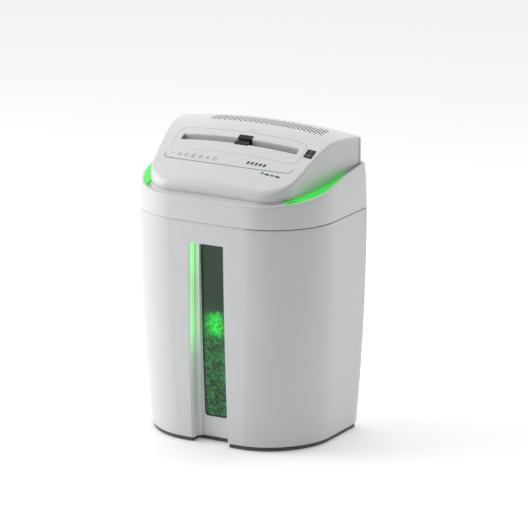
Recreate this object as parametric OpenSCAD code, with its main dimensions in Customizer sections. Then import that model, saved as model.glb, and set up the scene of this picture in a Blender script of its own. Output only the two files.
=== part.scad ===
// Paper shredder with a pull-out bin under a raised cutting head.
// Origin: centre of the overall box, on the floor. +Z is up, the front faces -Y.

/* [Body] */
// Overall width at the seam between bin and head
body_w = 371; // [360:1:380]
// Overall depth, from the crown of the bowed front to the rear face
body_d = 246; // [240:1:252]
// Overall height at the top of the domed cover
body_h = 542; // [538:1:548]
// Height of the seam between bin and head
seam_z = 400; // [398:1:402]
// How far the front bows forward in its middle
front_bow = 8; // [4:0.5:10]
// Radius of the two large front corners
front_r = 113; // [100:1:118]
// Radius of the two small rear corners
rear_r = 15; // [12:1:18]
// How far each side draws in towards the floor
side_taper = 15; // [10:0.5:18]
// How far the front draws in towards the floor
front_taper = 11.5; // [8:0.5:13]
// How far the rear draws in towards the floor
rear_taper = 8; // [5:0.5:9]
// Wall thickness of the mouldings
wall = 3; // [2.5:0.1:3.2]

/* [Head] */
// Height of the skirt's rim at the front
rim_z = 440.5; // [438:0.5:443]
// Rise of the rim from front to rear
rim_rise = 38; // [34:1:40]
// Half width of the head at mid depth
head_half_w = 155; // [153:0.5:157]
// Widening of the head towards the rear, each side, per unit of depth
head_flare = 0.19; // [0.17:0.01:0.2]
// Radius of the head's front corners
head_r = 60; // [50:1:64]
// Crown radius of the domed cover, across the width
crown_r = 1200; // [1100:10:1300]

/* [Feed slot] */
// Length of the paper entry
slot_w = 230; // [226:1:232]
// Front to rear width of the paper entry
slot_gap = 12; // [11:0.5:13]
// Depth position of the middle of the paper entry
slot_y = -7.5; // [-8.5:0.5:-7]
// Width of the dark sensor cover
sensor_w = 28; // [24:1:32]
// Sideways position of the sensor cover
sensor_x = 7; // [0:1:10]
// Width of the narrow paper slit under the sensor cover
sensor_slit = 5.4; // [5:0.2:6]

/* [Window channel] */
// Width of the upright channel at its top
channel_w = 67; // [64:1:70]
// Extra channel width at the floor
channel_spread = 5; // [2:0.5:6]
// Depth of the channel
channel_depth = 25; // [22:0.5:27]
// Height of the channel's top
channel_top = 363; // [355:1:366]
// Window width at its top
window_w = 52; // [48:1:53]
// Window height
window_h = 312; // [300:1:314]
// Height of the window's lower edge
window_z = 45; // [42:1:50]

/* [Rocker switch] */
// Sideways position of the switch
switch_x = 138; // [136:0.5:139]
// Depth position of the switch
switch_y = -7; // [-9:0.5:-5]
// Width of the switch frame
switch_w = 16; // [15:0.5:17]
// Length of the switch frame
switch_l = 20; // [19:0.5:22]

/* [Cutters] */
// Radius of the cutting discs
disc_r = 17; // [16.5:0.1:17.5]
// Thickness of a cutting disc
disc_t = 2; // [1.8:0.05:2]
// Spacing of the discs on one shaft
disc_pitch = 4.2; // [4.2:0.1:4.4]
// Distance between the two cutter shafts
shaft_gap = 30; // [30:0.5:31]
// Radius of the cutter shafts
shaft_r = 8; // [7.5:0.1:8.5]
// Height of the cutter shafts
cutter_z = 445; // [444:0.5:448]

/* [Gear train] */
// Teeth on the motor pinion
pinion_teeth = 12; // [12:1:14]
// Teeth on the large wheel of the idler
idler_teeth = 60; // [58:1:60]
// Teeth on the small wheel of the idler
idler_small_teeth = 15; // [15:1:15]
// Teeth on the wheel that drives the rear cutter shaft
drive_teeth = 40; // [39:1:40]
// Teeth on the two equal wheels that link the cutter shafts
link_teeth = 20; // [20:1:20]

/* [Hidden] */
$fn = 48;
clear = 0.3;                 // gap between pieces that move past each other
fit = 0.05;                  // radial running clearance of a shaft
half_w = body_w / 2;
front_y = -body_d / 2;       // crown of the bowed front
rear_y = body_d / 2;
side_front_y = front_y + front_bow;
plinth_h = 7;
plinth_gap = 0.5;            // gap between the plinth and the floor
plinth_inset = 2.5;
shell_z = plinth_h + 0.8;    // lower edge of the bin shell and the rear cover
bin_top = seam_z - 0.5;
bin_rear_y = 108;            // where the bin's sides end and the rear cover starts
bin_wall_y = 100;            // inner back wall of the bin
bin_wall_t = 2.5;
floor_z = plinth_h + 13;     // underside of the bin's floor
bin_wall_top = 384;
chassis_z = seam_z + 2;
plate_t = 3;
deck_z = chassis_z + plate_t;  // top of the chassis plate
crown_base = body_h - crown_r;
slope_end = -5;              // the fascia is straight in front of this depth
top_y = 58;                  // depth at which the cover is highest
fascia_slope = 0.585;
crown_bend = fascia_slope / (2 * (top_y - slope_end));
rear_bend = 0.0016;          // curve of the cover behind its highest line
window_round = 7;

// ---- shape of the body in plan ----
function drop(z) = pow(max(0, (seam_z - z) / seam_z), 2);
function rise(z) = 7.7 * pow(max(0, (z - seam_z) / 130), 2);
function side_in(z) = side_taper * drop(z) + rise(z);
function front_in(z) = front_taper * drop(z) + rise(z);
function rear_in(z) = rear_taper * drop(z) + rise(z);
// half width of the body at height z, moved in by d
function half_at(z, d = 0) = half_w - side_in(z) - d;
// y of the bowed front at height z and offset x, moved in by d
function front_at(x, z, d = 0) =
    front_y + front_in(z) + d + front_bow * pow(x / half_at(z), 2);
// one front corner point of the right half, a from 0 (side) to 90 (front)
function corner_pt(z, d, a) = let (
    hw = half_at(z, d), r = front_r - d,
    x = hw - r + r * cos(a),
    y = side_front_y + front_in(z) + d + r - r * sin(a))
    [x, y - front_bow * (1 - pow(x / hw, 2)) * sin(a)];
function rear_pt(z, d, a) = let (r = max(rear_r - d, 2))
    [half_at(z, d) - r + r * sin(a), rear_y - rear_in(z) - d - r + r * cos(a)];
corner_steps = 10;
// right half of the outline, from the rear middle to the front middle
function half_ring(z, d) = concat(
    [for (k = [0:1:3]) [(half_at(z, d) - rear_r) * k / 4, rear_y - rear_in(z) - d]],
    [for (k = [0:1:3]) rear_pt(z, d, k * 30)],
    [for (k = [1:1:4]) let (s = k / 5, a = rear_pt(z, d, 90), b = corner_pt(z, d, 0))
        [a[0], a[1] + (b[1] - a[1]) * s]],
    [for (k = [0:1:corner_steps]) corner_pt(z, d, 90 * k / corner_steps)],
    [for (k = [1:1:4]) let (c = corner_pt(z, d, 90), s = 1 - k / 5)
        [c[0] * s, c[1] - front_bow * (pow(c[0] / half_at(z, d), 2)
            - pow(c[0] * s / half_at(z, d), 2))]],
    [[0, front_y + front_in(z) + d]]);
function mirrored(p) = [for (k = [len(p) - 1:-1:0]) [-p[k][0], p[k][1]]];
function inner_part(p) = [for (k = [1:1:len(p) - 2]) p[k]];
// whole closed outline
function ring(z, d = 0) = let (h = half_ring(z, d)) concat(h, inner_part(mirrored(h)));

// ---- shape of the head in plan ----
function head_half(y) = head_half_w + head_flare * y;
head_front_y = -107;
head_rear_y = 114;
head_rear_r = 12;
head_lean = atan(head_flare);
head_c_y = head_front_y + head_r;
head_c_x = head_half(head_c_y) - head_r / cos(head_lean);
function head_half_ring(d) = concat(
    [for (k = [0:1:3]) [(head_half(head_rear_y) - head_rear_r - d) * k / 4, head_rear_y - d]],
    [for (k = [0:1:3]) let (r = head_rear_r)
        [head_half(head_rear_y) - r - d + r * sin(k * 30), head_rear_y - d - r + r * cos(k * 30)]],
    [for (k = [1:1:4]) let (y = head_rear_y - head_rear_r + (head_c_y - head_rear_y + head_rear_r) * k / 5)
        [head_half(y) - d, y]],
    [for (k = [0:1:corner_steps]) let (a = head_lean + (90 - head_lean) * k / corner_steps)
        [head_c_x + (head_r - d) * cos(a), head_c_y - (head_r - d) * sin(a)]],
    [for (k = [1:1:4]) [head_c_x * (1 - k / 5), head_front_y + d]],
    [[0, head_front_y + d]]);
function head_ring(d = 0) = let (h = head_half_ring(d)) concat(h, inner_part(mirrored(h)));

// ---- heights over the head ----
function fascia_z(y) = y < slope_end
    ? fascia_z(slope_end) + fascia_slope * (y - slope_end)
    : body_h - (y < top_y ? crown_bend : rear_bend) * pow(y - top_y, 2);
function crown_z(x, y) = fascia_z(y) - x * x / (2 * crown_r);
function rim_at(y) = let (t = (y - front_y) / 222) rim_z + rim_rise * t - 2 * sin(360 * t);
function ledge_at(y) = 446 + 22 * pow(max(0, (y + 104) / 204), 1.6);

// ---- builders ----
// closed band: one list of section points for every station around the ring
module band(sections, closed = true) {
    n = len(sections);
    m = len(sections[0]);
    last = closed ? n - 1 : n - 2;
    pts = [for (s = sections) for (p = s) p];
    sides = [for (i = [0:1:last]) for (k = [0:1:m - 1]) let (
        a = i * m + k, b = i * m + (k + 1) % m,
        c = ((i + 1) % n) * m + (k + 1) % m, d = ((i + 1) % n) * m + k)
        each [[a, b, c], [a, c, d]]];
    caps = closed ? [] : concat(
        [for (k = [1:1:m - 2]) [0, k + 1, k]],
        [for (k = [1:1:m - 2]) let (o = (n - 1) * m) [o, o + k, o + k + 1]]);
    polyhedron(points = pts, faces = concat(sides, caps), convexity = 8);
}
// upright wall through several heights; each station is a loop over outer then inner points
module upright_wall(outer, inner, closed = true) {
    levels = len(outer);
    stations = len(outer[0]);
    band([for (i = [0:1:stations - 1]) concat(
        [for (l = [0:1:levels - 1]) outer[l][i]],
        [for (l = [levels - 1:-1:0]) inner[l][i]])], closed);
}
function at_z(pts, z) = [for (p = pts) [p[0], p[1], z]];
// solid below the domed cover, lowered by d
module crown_solid(d) {
    ys = [for (k = [0:1:12]) head_front_y - 8 + (head_rear_y + 16 - head_front_y) * k / 12];
    rotate([-90, 0, 0]) rotate_extrude(start = 260, angle = 20, $fn = 144)
        polygon(concat([for (y = ys) [fascia_z(y) - crown_base - d, y]],
            [[400 - crown_base, ys[12]], [400 - crown_base, ys[0]]]));
}
module on_base() { translate([0, 0, crown_base]) children(); }
// upright cylinder turned to run along +X or +Y from its start
module rod_x(x0, x1, r) { translate([x0, 0, 0]) rotate([0, 90, 0]) cylinder(r = r, h = x1 - x0); }
module rod_y(y0, y1, r) { translate([0, y0, 0]) rotate([-90, 0, 0]) cylinder(r = r, h = y1 - y0); }
module box(a, b) { translate(a) cube(b - a); }
// rectangle with round corners, centred
function round_pts(w, h, r) = [for (q = [0:1:3]) for (k = [0:1:4]) let (a = 90 * q + 22.5 * k)
    [(q == 0 || q == 3 ? 1 : -1) * (w / 2 - r) + r * cos(a),
     (q < 2 ? 1 : -1) * (h / 2 - r) + r * sin(a)]];
module rounded(w, h, r) { polygon(round_pts(w, h, r)); }

// ---- base and frame ----
module base_plinth() {
    color([0.24, 0.24, 0.25]) difference() {
        translate([0, 0, plinth_gap]) linear_extrude(plinth_h - plinth_gap) difference() {
            polygon(ring(6, plinth_inset));
            channel_plan(channel_w + channel_spread + 2, channel_depth + 1, front_at(0, 6));
        }
        linear_extrude(plinth_h - plate_t) difference() {
            polygon(ring(6, plinth_inset + wall));
            channel_plan(channel_w + channel_spread + 8, channel_depth + 4, front_at(0, 6));
        }
    }
}
module channel_plan(w, d, y) { translate([-w / 2, y - 20]) square([w, d + 20]); }
foot_at = [[-105, -68], [105, -68], [-130, 88], [130, 88]];
module rubber_feet() {
    color([0.1, 0.1, 0.1]) for (p = foot_at)
        translate([p[0], p[1], 0]) cylinder(r = 10, h = plinth_h - plate_t);
}
column_w = 224;
column_y = 109.8;
column_t = 2;
module frame_column() {
    color([0.62, 0.63, 0.64]) difference() {
        union() {
            box([-column_w / 2, column_y, plinth_h], [column_w / 2, column_y + column_t, chassis_z]);
            for (s = [-1, 1])
                box([s * (column_w / 2 - 1) - 1, 103.5, plinth_h],
                    [s * (column_w / 2 - 1) + 1, column_y, chassis_z]);
            box([-column_w / 2, 95, chassis_z - column_t], [column_w / 2, column_y, chassis_z]);
        }
        screw_holes();
    }
}
column_screws = [[-90, 106], [-30, 106], [30, 106], [90, 106]];
screw_r = 2.5;
screw_low = 394;             // lower end of the screws that hold the head on the column
module screw_holes() {
    for (p = column_screws) translate([p[0], p[1], screw_low - 4]) cylinder(r = screw_r, h = 20);
}
rear_screw_at = [[-95, 45], [95, 45], [-95, 340], [95, 340]];
inlet_x = 140;
inlet_z = 366;
rear_levels = [shell_z, 60, 110, 160, 210, 270, 330, bin_top];
// point of the outline near a rear corner, at depth y
function corner_x(z, d, y) = let (
    r = max(rear_r - d, 2), c = (y - rear_y + rear_in(z) + d + r) / r)
    half_at(z, d) - r + r * sin(acos(min(1, max(0, c))));
function rear_path(z, d) = let (
    r = max(rear_r - d, 2), a1 = acos((bin_rear_y - rear_y + rear_in(z) + d + r) / r),
    h = concat([for (k = [0:1:3]) [(half_at(z, d) - rear_r) * k / 4, rear_y - rear_in(z) - d]],
        [for (k = [0:1:4]) rear_pt(z, d, a1 * k / 4)]))
    concat([for (k = [len(h) - 1:-1:1]) h[k]], [for (p = h) [-p[0], p[1]]]);
module rear_cover() {
    color([0.86, 0.87, 0.87]) difference() {
        upright_wall([for (z = rear_levels) at_z(rear_path(z, 0), z)],
            [for (z = rear_levels) at_z(rear_path(z, wall), z)], closed = false);
        box([inlet_x - 14, 100, inlet_z - 11], [inlet_x + 14, 130, inlet_z + 11]);
        for (p = rear_screw_at) translate([p[0], 0, p[1]]) rod_y(100, 130, 4);
    }
}
module rear_screws() {
    color([0.35, 0.35, 0.36]) for (p = rear_screw_at) let (y = rear_y - rear_in(p[1]) - 1.5)
        translate([p[0], y, p[1]]) difference() {
            rotate([90, 0, 0]) rotate_extrude()
                polygon([[0, 0], [4, 0], [4, 2], [1.8, 2.5],
                    [1.8, y - column_y - column_t], [0, y - column_y - column_t]]);
            box([-3, -1, -0.5], [3, 1, 0.5]);
        }
}
module power_inlet() {
    color([0.1, 0.1, 0.11]) translate([inlet_x, 0, inlet_z]) difference() {
        box([-13.8, 104, -10.8], [13.8, 122.5, 10.8]);
        box([-11.5, 108, -8], [11.5, 130, 8]);
        for (p = inlet_pin_at) box([p[0] - 2, 100, p[1] - 1], [p[0] + 2, 112, p[1] + 1]);
    }
}
inlet_pin_at = [[-7, -2], [0, 2], [7, -2]];
module inlet_pins() {
    color([0.8, 0.65, 0.3]) translate([inlet_x, 0, inlet_z])
        for (p = inlet_pin_at) box([p[0] - 2, 104, p[1] - 1], [p[0] + 2, 120, p[1] + 1]);
}
module bin_guides() {
    color([0.5, 0.5, 0.52]) for (s = [-1, 1]) translate([s * 120, 0, 0])
        box([-3, -60, plinth_h], [3, 98, plinth_h + 4]);
}
magnet_x = -60;
latch_z = 372;
module bin_magnet() {
    color([0.3, 0.3, 0.32]) translate([magnet_x, 0, latch_z]) rod_y(103.8, column_y, 8);
}
plunger_x = 60;
plunger_r = 1.5;
module interlock_switch() {
    color([0.12, 0.12, 0.13]) translate([plunger_x, 0, latch_z]) difference() {
        box([-10, 105, -6], [10, column_y, 6]);
        rod_y(100, 120, plunger_r + fit);
    }
}
module interlock_plunger() {
    color([0.8, 0.2, 0.15]) translate([plunger_x, 0, latch_z]) rod_y(102.8, 106.5, plunger_r);
}

// ---- head ----
module chassis_plate() {
    color([0.6, 0.61, 0.63]) difference() {
        translate([0, 0, chassis_z]) linear_extrude(plate_t) polygon(ring(seam_z, 6));
        box([-118, -32, chassis_z - 5], [118, 17, chassis_z + 10]);
        screw_holes();
    }
}
module chassis_screws() {
    color([0.75, 0.75, 0.77]) for (p = column_screws) translate([p[0], p[1], 0]) {
        translate([0, 0, deck_z]) cylinder(r = 4.5, h = 3);
        translate([0, 0, screw_low]) cylinder(r = screw_r, h = deck_z - screw_low);
    }
}
skirt_z = seam_z + 1.2;
// how far the skirt's ledge lies under the light strips' top, deeper beside them
function ledge_drop(y) = 3.5 + 3 * min(1, max(0, (y + 100) / 30));
rim_t = 4;
function skirt_section(i) = let (
    b = ring(seam_z), yb = b[i][1], zr = rim_at(yb), zm = (skirt_z + zr) / 2,
    h = head_ring(-0.5)[i], zl = ledge_at(h[1]) - ledge_drop(h[1]), zb = zr - ledge_drop(yb),
    o0 = ring(skirt_z)[i], o1 = ring(zm)[i], o2 = ring(zr)[i], o3 = ring(zr, rim_t)[i],
    o4 = ring(skirt_z, wall)[i])
    [[o0[0], o0[1], skirt_z], [o1[0], o1[1], zm], [o2[0], o2[1], zr], [o3[0], o3[1], zr],
     [o3[0], o3[1], zb], [h[0], h[1], zl], [h[0], h[1], zl - wall],
     [o3[0], o3[1], zb - 4], [o4[0], o4[1], skirt_z]];
module skirt() {
    color([0.88, 0.89, 0.89]) band([for (i = [0:1:len(ring(seam_z)) - 1]) skirt_section(i)]);
}
bezel_y = -11;
module bezel_plan(d) {
    translate([0, bezel_y]) rounded(254 - 2 * d, 50 - 2 * d, 15 - d);
}
module slot_plan(d) {
    translate([0, slot_y]) square([slot_w + 2 * d, slot_gap + 2 * d], center = true);
}
vent_pitch = 10.6;
vent_w = 2.4;
vent_tilt = -39.5;
module vent_plan() {
    intersection() {
        polygon([[-98, 50], [-98, 92], [-60, 100], [128, 100], [128, 44], [60, 40], [-60, 44]]);
        for (k = [-13:1:15]) translate([k * vent_pitch, 70]) rotate(vent_tilt)
            square([58, vent_w], center = true);
    }
}
module head_cover() {
    color([0.91, 0.92, 0.92]) difference() {
        intersection() {
            translate([0, 0, 432]) linear_extrude(140) polygon(head_ring());
            on_base() crown_solid(0);
        }
        intersection() {
            translate([0, 0, 400]) linear_extrude(170) polygon(head_ring(wall));
            on_base() crown_solid(wall);
        }
        translate([0, 0, 480]) linear_extrude(80) bezel_plan(0);
        translate([0, 0, 480]) linear_extrude(80) vent_plan();
        in_switch() translate([0, 0, -20])
            linear_extrude(40) square([switch_w, switch_l], center = true);
    }
}
module throat_bezel() {
    color([0.9, 0.91, 0.91]) difference() {
        intersection() {
            translate([0, 0, 480]) linear_extrude(80) difference() {
                bezel_plan(0.4);
                slot_plan(0);
                sensor_plan(0.2);
            }
            on_base() crown_solid(0);
        }
        on_base() crown_solid(wall);
    }
}
guide_bottom = 468;
module throat_guides() {
    color([0.55, 0.56, 0.56]) intersection() {
        translate([0, 0, guide_bottom]) linear_extrude(80) difference() {
            slot_plan(2);
            slot_plan(0);
            sensor_plan(0.2);
        }
        on_base() crown_solid(wall);
    }
}
sensor_l = 21.4;
sensor_y = slot_y + 2.3;
module sensor_plan(d) {
    translate([sensor_x, sensor_y]) square([sensor_w + 2 * d, sensor_l + 2 * d], center = true);
}
// the cover stands on both sides of a slit that lets the paper through
module sensor_half(front) {
    color([0.07, 0.07, 0.08]) intersection() {
        translate([0, 0, 498]) linear_extrude(60) intersection() {
            sensor_plan(0);
            translate([sensor_x - sensor_w, slit_y + (front ? -sensor_slit / 2 - sensor_l : sensor_slit / 2)])
                square([2 * sensor_w, sensor_l]);
        }
        on_base() crown_solid(-1.2);
    }
}
slit_y = slot_y + 2;
module sensor_cover() { sensor_half(true); }
module sensor_receiver() { sensor_half(false); }
module sensor_board() {
    color([0.1, 0.35, 0.2]) translate([sensor_x - 10, sensor_y - sensor_l / 2 - 9, 480])
        cube([20, 8, 10]);
}
switch_slope = atan(fascia_slope);
switch_tilt = asin(switch_x / crown_r);
module in_switch() {
    translate([switch_x, switch_y, crown_z(switch_x, switch_y)])
        rotate([switch_slope, switch_tilt, 0]) children();
}
rocker_w = switch_w - 4;
rocker_l = switch_l - 3;
pivot_z = -3;
module switch_frame() {
    color([0.08, 0.08, 0.09]) in_switch() difference() {
        translate([0, 0, -16]) linear_extrude(16.8)
            square([switch_w - 0.2, switch_l - 0.2], center = true);
        translate([0, 0, -10]) linear_extrude(20)
            square([rocker_w + 0.8, rocker_l + 1.2], center = true);
        translate([0, 0, pivot_z]) rod_x(-switch_w, switch_w, 1.2);
    }
}
module switch_rocker() {
    color([0.06, 0.06, 0.07]) in_switch() difference() {
        rotate([90, 0, 90]) translate([0, 0, -rocker_w / 2]) linear_extrude(rocker_w)
            polygon([[-rocker_l / 2, 1.4], [0, 0.5], [rocker_l / 2, 1.4],
                [rocker_l / 2, -1.5], [2.5, -6], [-2.5, -6], [-rocker_l / 2, -1.5]]);
        translate([0, 0, pivot_z]) rod_x(-switch_w, switch_w, 1.2 + fit);
    }
}
module switch_pins() {
    color([0.7, 0.7, 0.72]) in_switch() translate([0, 0, pivot_z])
        rod_x(-switch_w / 2 + 0.3, switch_w / 2 - 0.3, 1.2);
}
// crescent light guide between the head's straight side wall and the rim
strip_y0 = -86;
strip_y1 = 62;
strip_steps = 16;
function rim_inner_x(y) = y < -2
    ? half_w - front_r + sqrt(pow(front_r - rim_t - 0.6, 2) - pow(y - side_front_y - front_r, 2))
    : half_w - rim_t - 0.6 - rise(rim_at(y));
module light_strip() {
    color([0.2, 0.85, 0.25]) band([for (k = [0:1:strip_steps]) let (
        y = strip_y0 + (strip_y1 - strip_y0) * k / strip_steps,
        xi = head_half(y) + 1, xo = max(rim_inner_x(y) - 2, xi + 1),
        zi = ledge_at(y), zo = rim_at(y) - 2.5)
        [[xi, y, zi], [xo, y, zo], [xo, y, zo - 2], [xi, y, zi - 2]]], closed = false);
}
module light_strip_left() { mirror([1, 0, 0]) light_strip(); }
module light_strip_right() { light_strip(); }
module led_boards() {
    color([0.1, 0.4, 0.2]) for (s = [-1, 1]) translate([s * 158, 0, 0])
        box([-4, -20, 412], [4, 30, 413.6]);
}
module bin_lamp() {
    color([0.85, 0.9, 0.85]) box([-24, -98, 390], [24, -84, chassis_z]);
}

// ---- cutting unit ----
front_shaft_y = slot_y - shaft_gap / 2;
rear_shaft_y = slot_y + shaft_gap / 2;
plate_x = 119;               // inner face of the side plates
plate_h = 490;               // top of the right side plate, which also carries the motor
motor_y = 72;
motor_z = 458;
motor_r = 33;
motor_len = 112;
module at_shaft(y) { translate([0, y, cutter_z]) children(); }
rod_at = [[-42, 416], [-42, 470], [30, 416], [30, 470]];
rod_r = 4;
bush_r = shaft_r + 3;
module plate_holes() {
    for (y = [front_shaft_y, rear_shaft_y]) at_shaft(y) rod_x(-160, 160, bush_r);
    for (p = rod_at) translate([0, p[0], p[1]]) rod_x(-160, 160, rod_r);
}
module side_plate_left() {
    color([0.66, 0.67, 0.69]) difference() {
        box([-plate_x - 3, -48, deck_z], [-plate_x, 36, 478]);
        plate_holes();
    }
}
module side_plate_right() {
    color([0.66, 0.67, 0.69]) difference() {
        union() {
            box([plate_x, -48, deck_z], [plate_x + 3, 106, 478]);
            box([plate_x, 30, deck_z], [plate_x + 3, 106, plate_h]);
        }
        plate_holes();
        translate([0, motor_y, motor_z]) rod_x(100, 150, 10);
        translate([0, idler_y, idler_z]) rod_x(100, 150, idler_pin_r);
    }
}
module tie_rods() {
    color([0.72, 0.73, 0.75]) for (p = rod_at) translate([0, p[0], p[1]])
        rod_x(-plate_x - 3, plate_x + 3, rod_r);
}
module shaft_bushes() {
    color([0.72, 0.55, 0.3]) for (y = [front_shaft_y, rear_shaft_y], s = [-1, 1])
        at_shaft(y) translate([s * (plate_x + 1.4), 0, 0]) difference() {
            rod_x(-2.2, 2.2, bush_r);
            rod_x(-5, 5, shaft_r + fit);
        }
}
disc_count = 56;
disc_x0 = -116.5;
// cutting disc with small hooked notches around its edge
notches = 9;
function disc_pts(turn) = [for (k = [0:1:notches - 1]) let (a = turn + k * 360 / notches)
    each [[disc_r * cos(a), disc_r * sin(a)],
        [disc_r * cos(a + 14), disc_r * sin(a + 14)],
        [disc_r * cos(a + 26), disc_r * sin(a + 26)],
        [(disc_r - 2) * cos(a + 27), (disc_r - 2) * sin(a + 27)]]];
module disc_row(x0, count, turn) {
    for (k = [0:1:count - 1]) translate([x0 + k * disc_pitch, 0, 0])
        rotate([90, 0, 90]) linear_extrude(disc_t) difference() {
            polygon(disc_pts(turn + 5 * (k % 8)));
            circle(r = shaft_r);
        }
}
module cutter_shaft_front() {
    color([0.55, 0.56, 0.58]) at_shaft(front_shaft_y) rod_x(-136, plate_x + 4, shaft_r);
}
module cutter_shaft_rear() {
    color([0.55, 0.56, 0.58]) at_shaft(rear_shaft_y) rod_x(-136, gear_plate_x + 2, shaft_r);
}
module cutter_discs_front() {
    color([0.48, 0.49, 0.52]) at_shaft(front_shaft_y) disc_row(disc_x0, disc_count, 0);
}
module cutter_discs_rear() {
    color([0.48, 0.49, 0.52]) at_shaft(rear_shaft_y)
        disc_row(disc_x0 + disc_pitch / 2, disc_count - 1, 20);
}
// comb whose fingers reach between the discs of one shaft and clear the strips
module comb(s, y, x0, count) {
    color([0.2, 0.2, 0.21]) {
        box([-plate_x, min(s * 22 + y, s * 18 + y), 439], [plate_x, max(s * 22 + y, s * 18 + y), 451]);
        for (k = [0:1:count - 2]) translate([x0 + k * disc_pitch + disc_t + 0.3, 0, 0])
            box([0, min(s * 18.5 + y, s * 8.6 + y), 441], [disc_pitch - disc_t - 0.6,
                max(s * 18.5 + y, s * 8.6 + y), 449]);
    }
}
module comb_front() { comb(-1, front_shaft_y, disc_x0, disc_count); }
module comb_rear() { comb(1, rear_shaft_y, disc_x0 + disc_pitch / 2, disc_count - 1); }

// ---- gear train ----
fine_module = 1;             // motor pinion and large idler wheel
coarse_module = 1.5;         // idler's small wheel, drive wheel and link wheels
gear_plate_x = 143.5;
idler_pin_r = 4;
fine_dist = fine_module * (pinion_teeth + idler_teeth) / 2 + 0.05;
coarse_dist = coarse_module * (idler_small_teeth + drive_teeth) / 2 + 0.05;
// the idler stands at the corner of a triangle over the motor and the rear shaft
drive_gap = norm([motor_y - rear_shaft_y, motor_z - cutter_z]);
along = (pow(fine_dist, 2) - pow(coarse_dist, 2) + pow(drive_gap, 2)) / (2 * drive_gap);
across = sqrt(pow(fine_dist, 2) - pow(along, 2));
dir_y = (rear_shaft_y - motor_y) / drive_gap;
dir_z = (cutter_z - motor_z) / drive_gap;
idler_y = motor_y + along * dir_y + across * dir_z;
idler_z = motor_z + along * dir_z - across * dir_y;
function bearing_of(y, z) = atan2(z, y);
// half the angle of a tooth at radius r, for an involute wheel
function inv_deg(a) = tan(a) * 180 / PI - a;
function tooth_half(r, n, m) = let (rb = n * m / 2 * cos(20))
    88 / n + inv_deg(20) - inv_deg(acos(min(1, rb / r)));
function wheel_pts(n, m, turn) = let (
    rp = n * m / 2, ra = rp + 0.85 * m, rf = rp - 1.2 * m, rb = rp * cos(20),
    r0 = max(rf + 0.2 * m, rb))
    [for (i = [0:1:n - 1]) let (c = turn + 360 * i / n) each concat(
        [let (a = c - tooth_half(r0, n, m)) [rf * cos(a), rf * sin(a)]],
        [for (k = [0:1:3]) let (r = r0 + (ra - r0) * k / 3, a = c - tooth_half(r, n, m))
            [r * cos(a), r * sin(a)]],
        [for (k = [3:-1:0]) let (r = r0 + (ra - r0) * k / 3, a = c + tooth_half(r, n, m))
            [r * cos(a), r * sin(a)]],
        [let (a = c + tooth_half(r0, n, m)) [rf * cos(a), rf * sin(a)]])];
// wheel along X whose tooth (or gap, when gap is 1) points along angle turn in the YZ plane
module wheel(x0, x1, n, m, turn, bore, gap = 0) {
    translate([x0, 0, 0]) rotate([90, 0, 90]) linear_extrude(x1 - x0) difference() {
        polygon(wheel_pts(n, m, turn + gap * 180 / n));
        circle(r = bore);
    }
}
link_x = [-134, -125];
module link_gear_front() {
    color([0.58, 0.59, 0.6]) at_shaft(front_shaft_y)
        wheel(link_x[0], link_x[1], link_teeth, shaft_gap / link_teeth, 0, shaft_r, 1);
}
module link_gear_rear() {
    color([0.58, 0.59, 0.6]) at_shaft(rear_shaft_y)
        wheel(link_x[0], link_x[1], link_teeth, shaft_gap / link_teeth, 180, shaft_r);
}
to_idler = bearing_of(idler_y - rear_shaft_y, idler_z - cutter_z);
to_motor = bearing_of(motor_y - idler_y, motor_z - idler_z);
module drive_gear() {
    color([0.6, 0.61, 0.62]) at_shaft(rear_shaft_y)
        wheel(133.5, 141.5, drive_teeth, coarse_module, to_idler, shaft_r);
}
module idler_gear() {
    color([0.86, 0.85, 0.8]) translate([0, idler_y, idler_z]) {
        wheel(125, 132, idler_teeth, fine_module, to_motor, idler_pin_r + fit);
        wheel(132, 142.5, idler_small_teeth, coarse_module, to_idler + 180, idler_pin_r + fit, 1);
    }
}
module idler_pin() {
    color([0.72, 0.73, 0.75]) translate([0, idler_y, idler_z])
        rod_x(plate_x, gear_plate_x + 2, idler_pin_r);
}
module gear_plate() {
    color([0.66, 0.67, 0.69]) difference() {
        union() {
            box([gear_plate_x, -8, 428], [gear_plate_x + 2, 96, plate_h]);
            for (p = [[88, 432], [88, plate_h - 4]]) translate([0, p[0], p[1]])
                rod_x(plate_x + 3, gear_plate_x, 3);
        }
        at_shaft(rear_shaft_y) rod_x(100, 160, shaft_r + fit);
        translate([0, idler_y, idler_z]) rod_x(100, 160, idler_pin_r);
    }
}
motor_x1 = plate_x;
motor_x0 = motor_x1 - motor_len;
spindle_r = 4;
module motor_body() {
    color([0.35, 0.36, 0.38]) translate([0, motor_y, motor_z]) difference() {
        union() {
            rod_x(motor_x0 + 8, motor_x1 - 8, motor_r);
            rod_x(motor_x0, motor_x1, motor_r - 6);
            box([motor_x0 + 20, -motor_r + 5, deck_z - motor_z],
                [motor_x1 - 20, motor_r - 5, -motor_r + 14]);
        }
        rod_x(motor_x0 - 5, motor_x1 + 5, spindle_r + fit);
    }
}
module motor_shaft() {
    color([0.75, 0.76, 0.78]) translate([0, motor_y, motor_z])
        rod_x(motor_x0 - 16, 132, spindle_r);
}
module motor_pinion() {
    color([0.7, 0.7, 0.72]) translate([0, motor_y, motor_z])
        wheel(125, 132, pinion_teeth, fine_module, to_motor + 180, spindle_r, 1);
}
fan_blades = 9;
module motor_fan() {
    color([0.2, 0.2, 0.22]) translate([motor_x0 - 14, motor_y, motor_z])
        rotate([90, 0, 90]) linear_extrude(10) difference() {
            union() {
                circle(r = 9);
                for (k = [0:1:fan_blades - 1]) rotate(k * 360 / fan_blades)
                    translate([8, -1]) square([20, 2]);
            }
            circle(r = spindle_r);
        }
}
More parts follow.
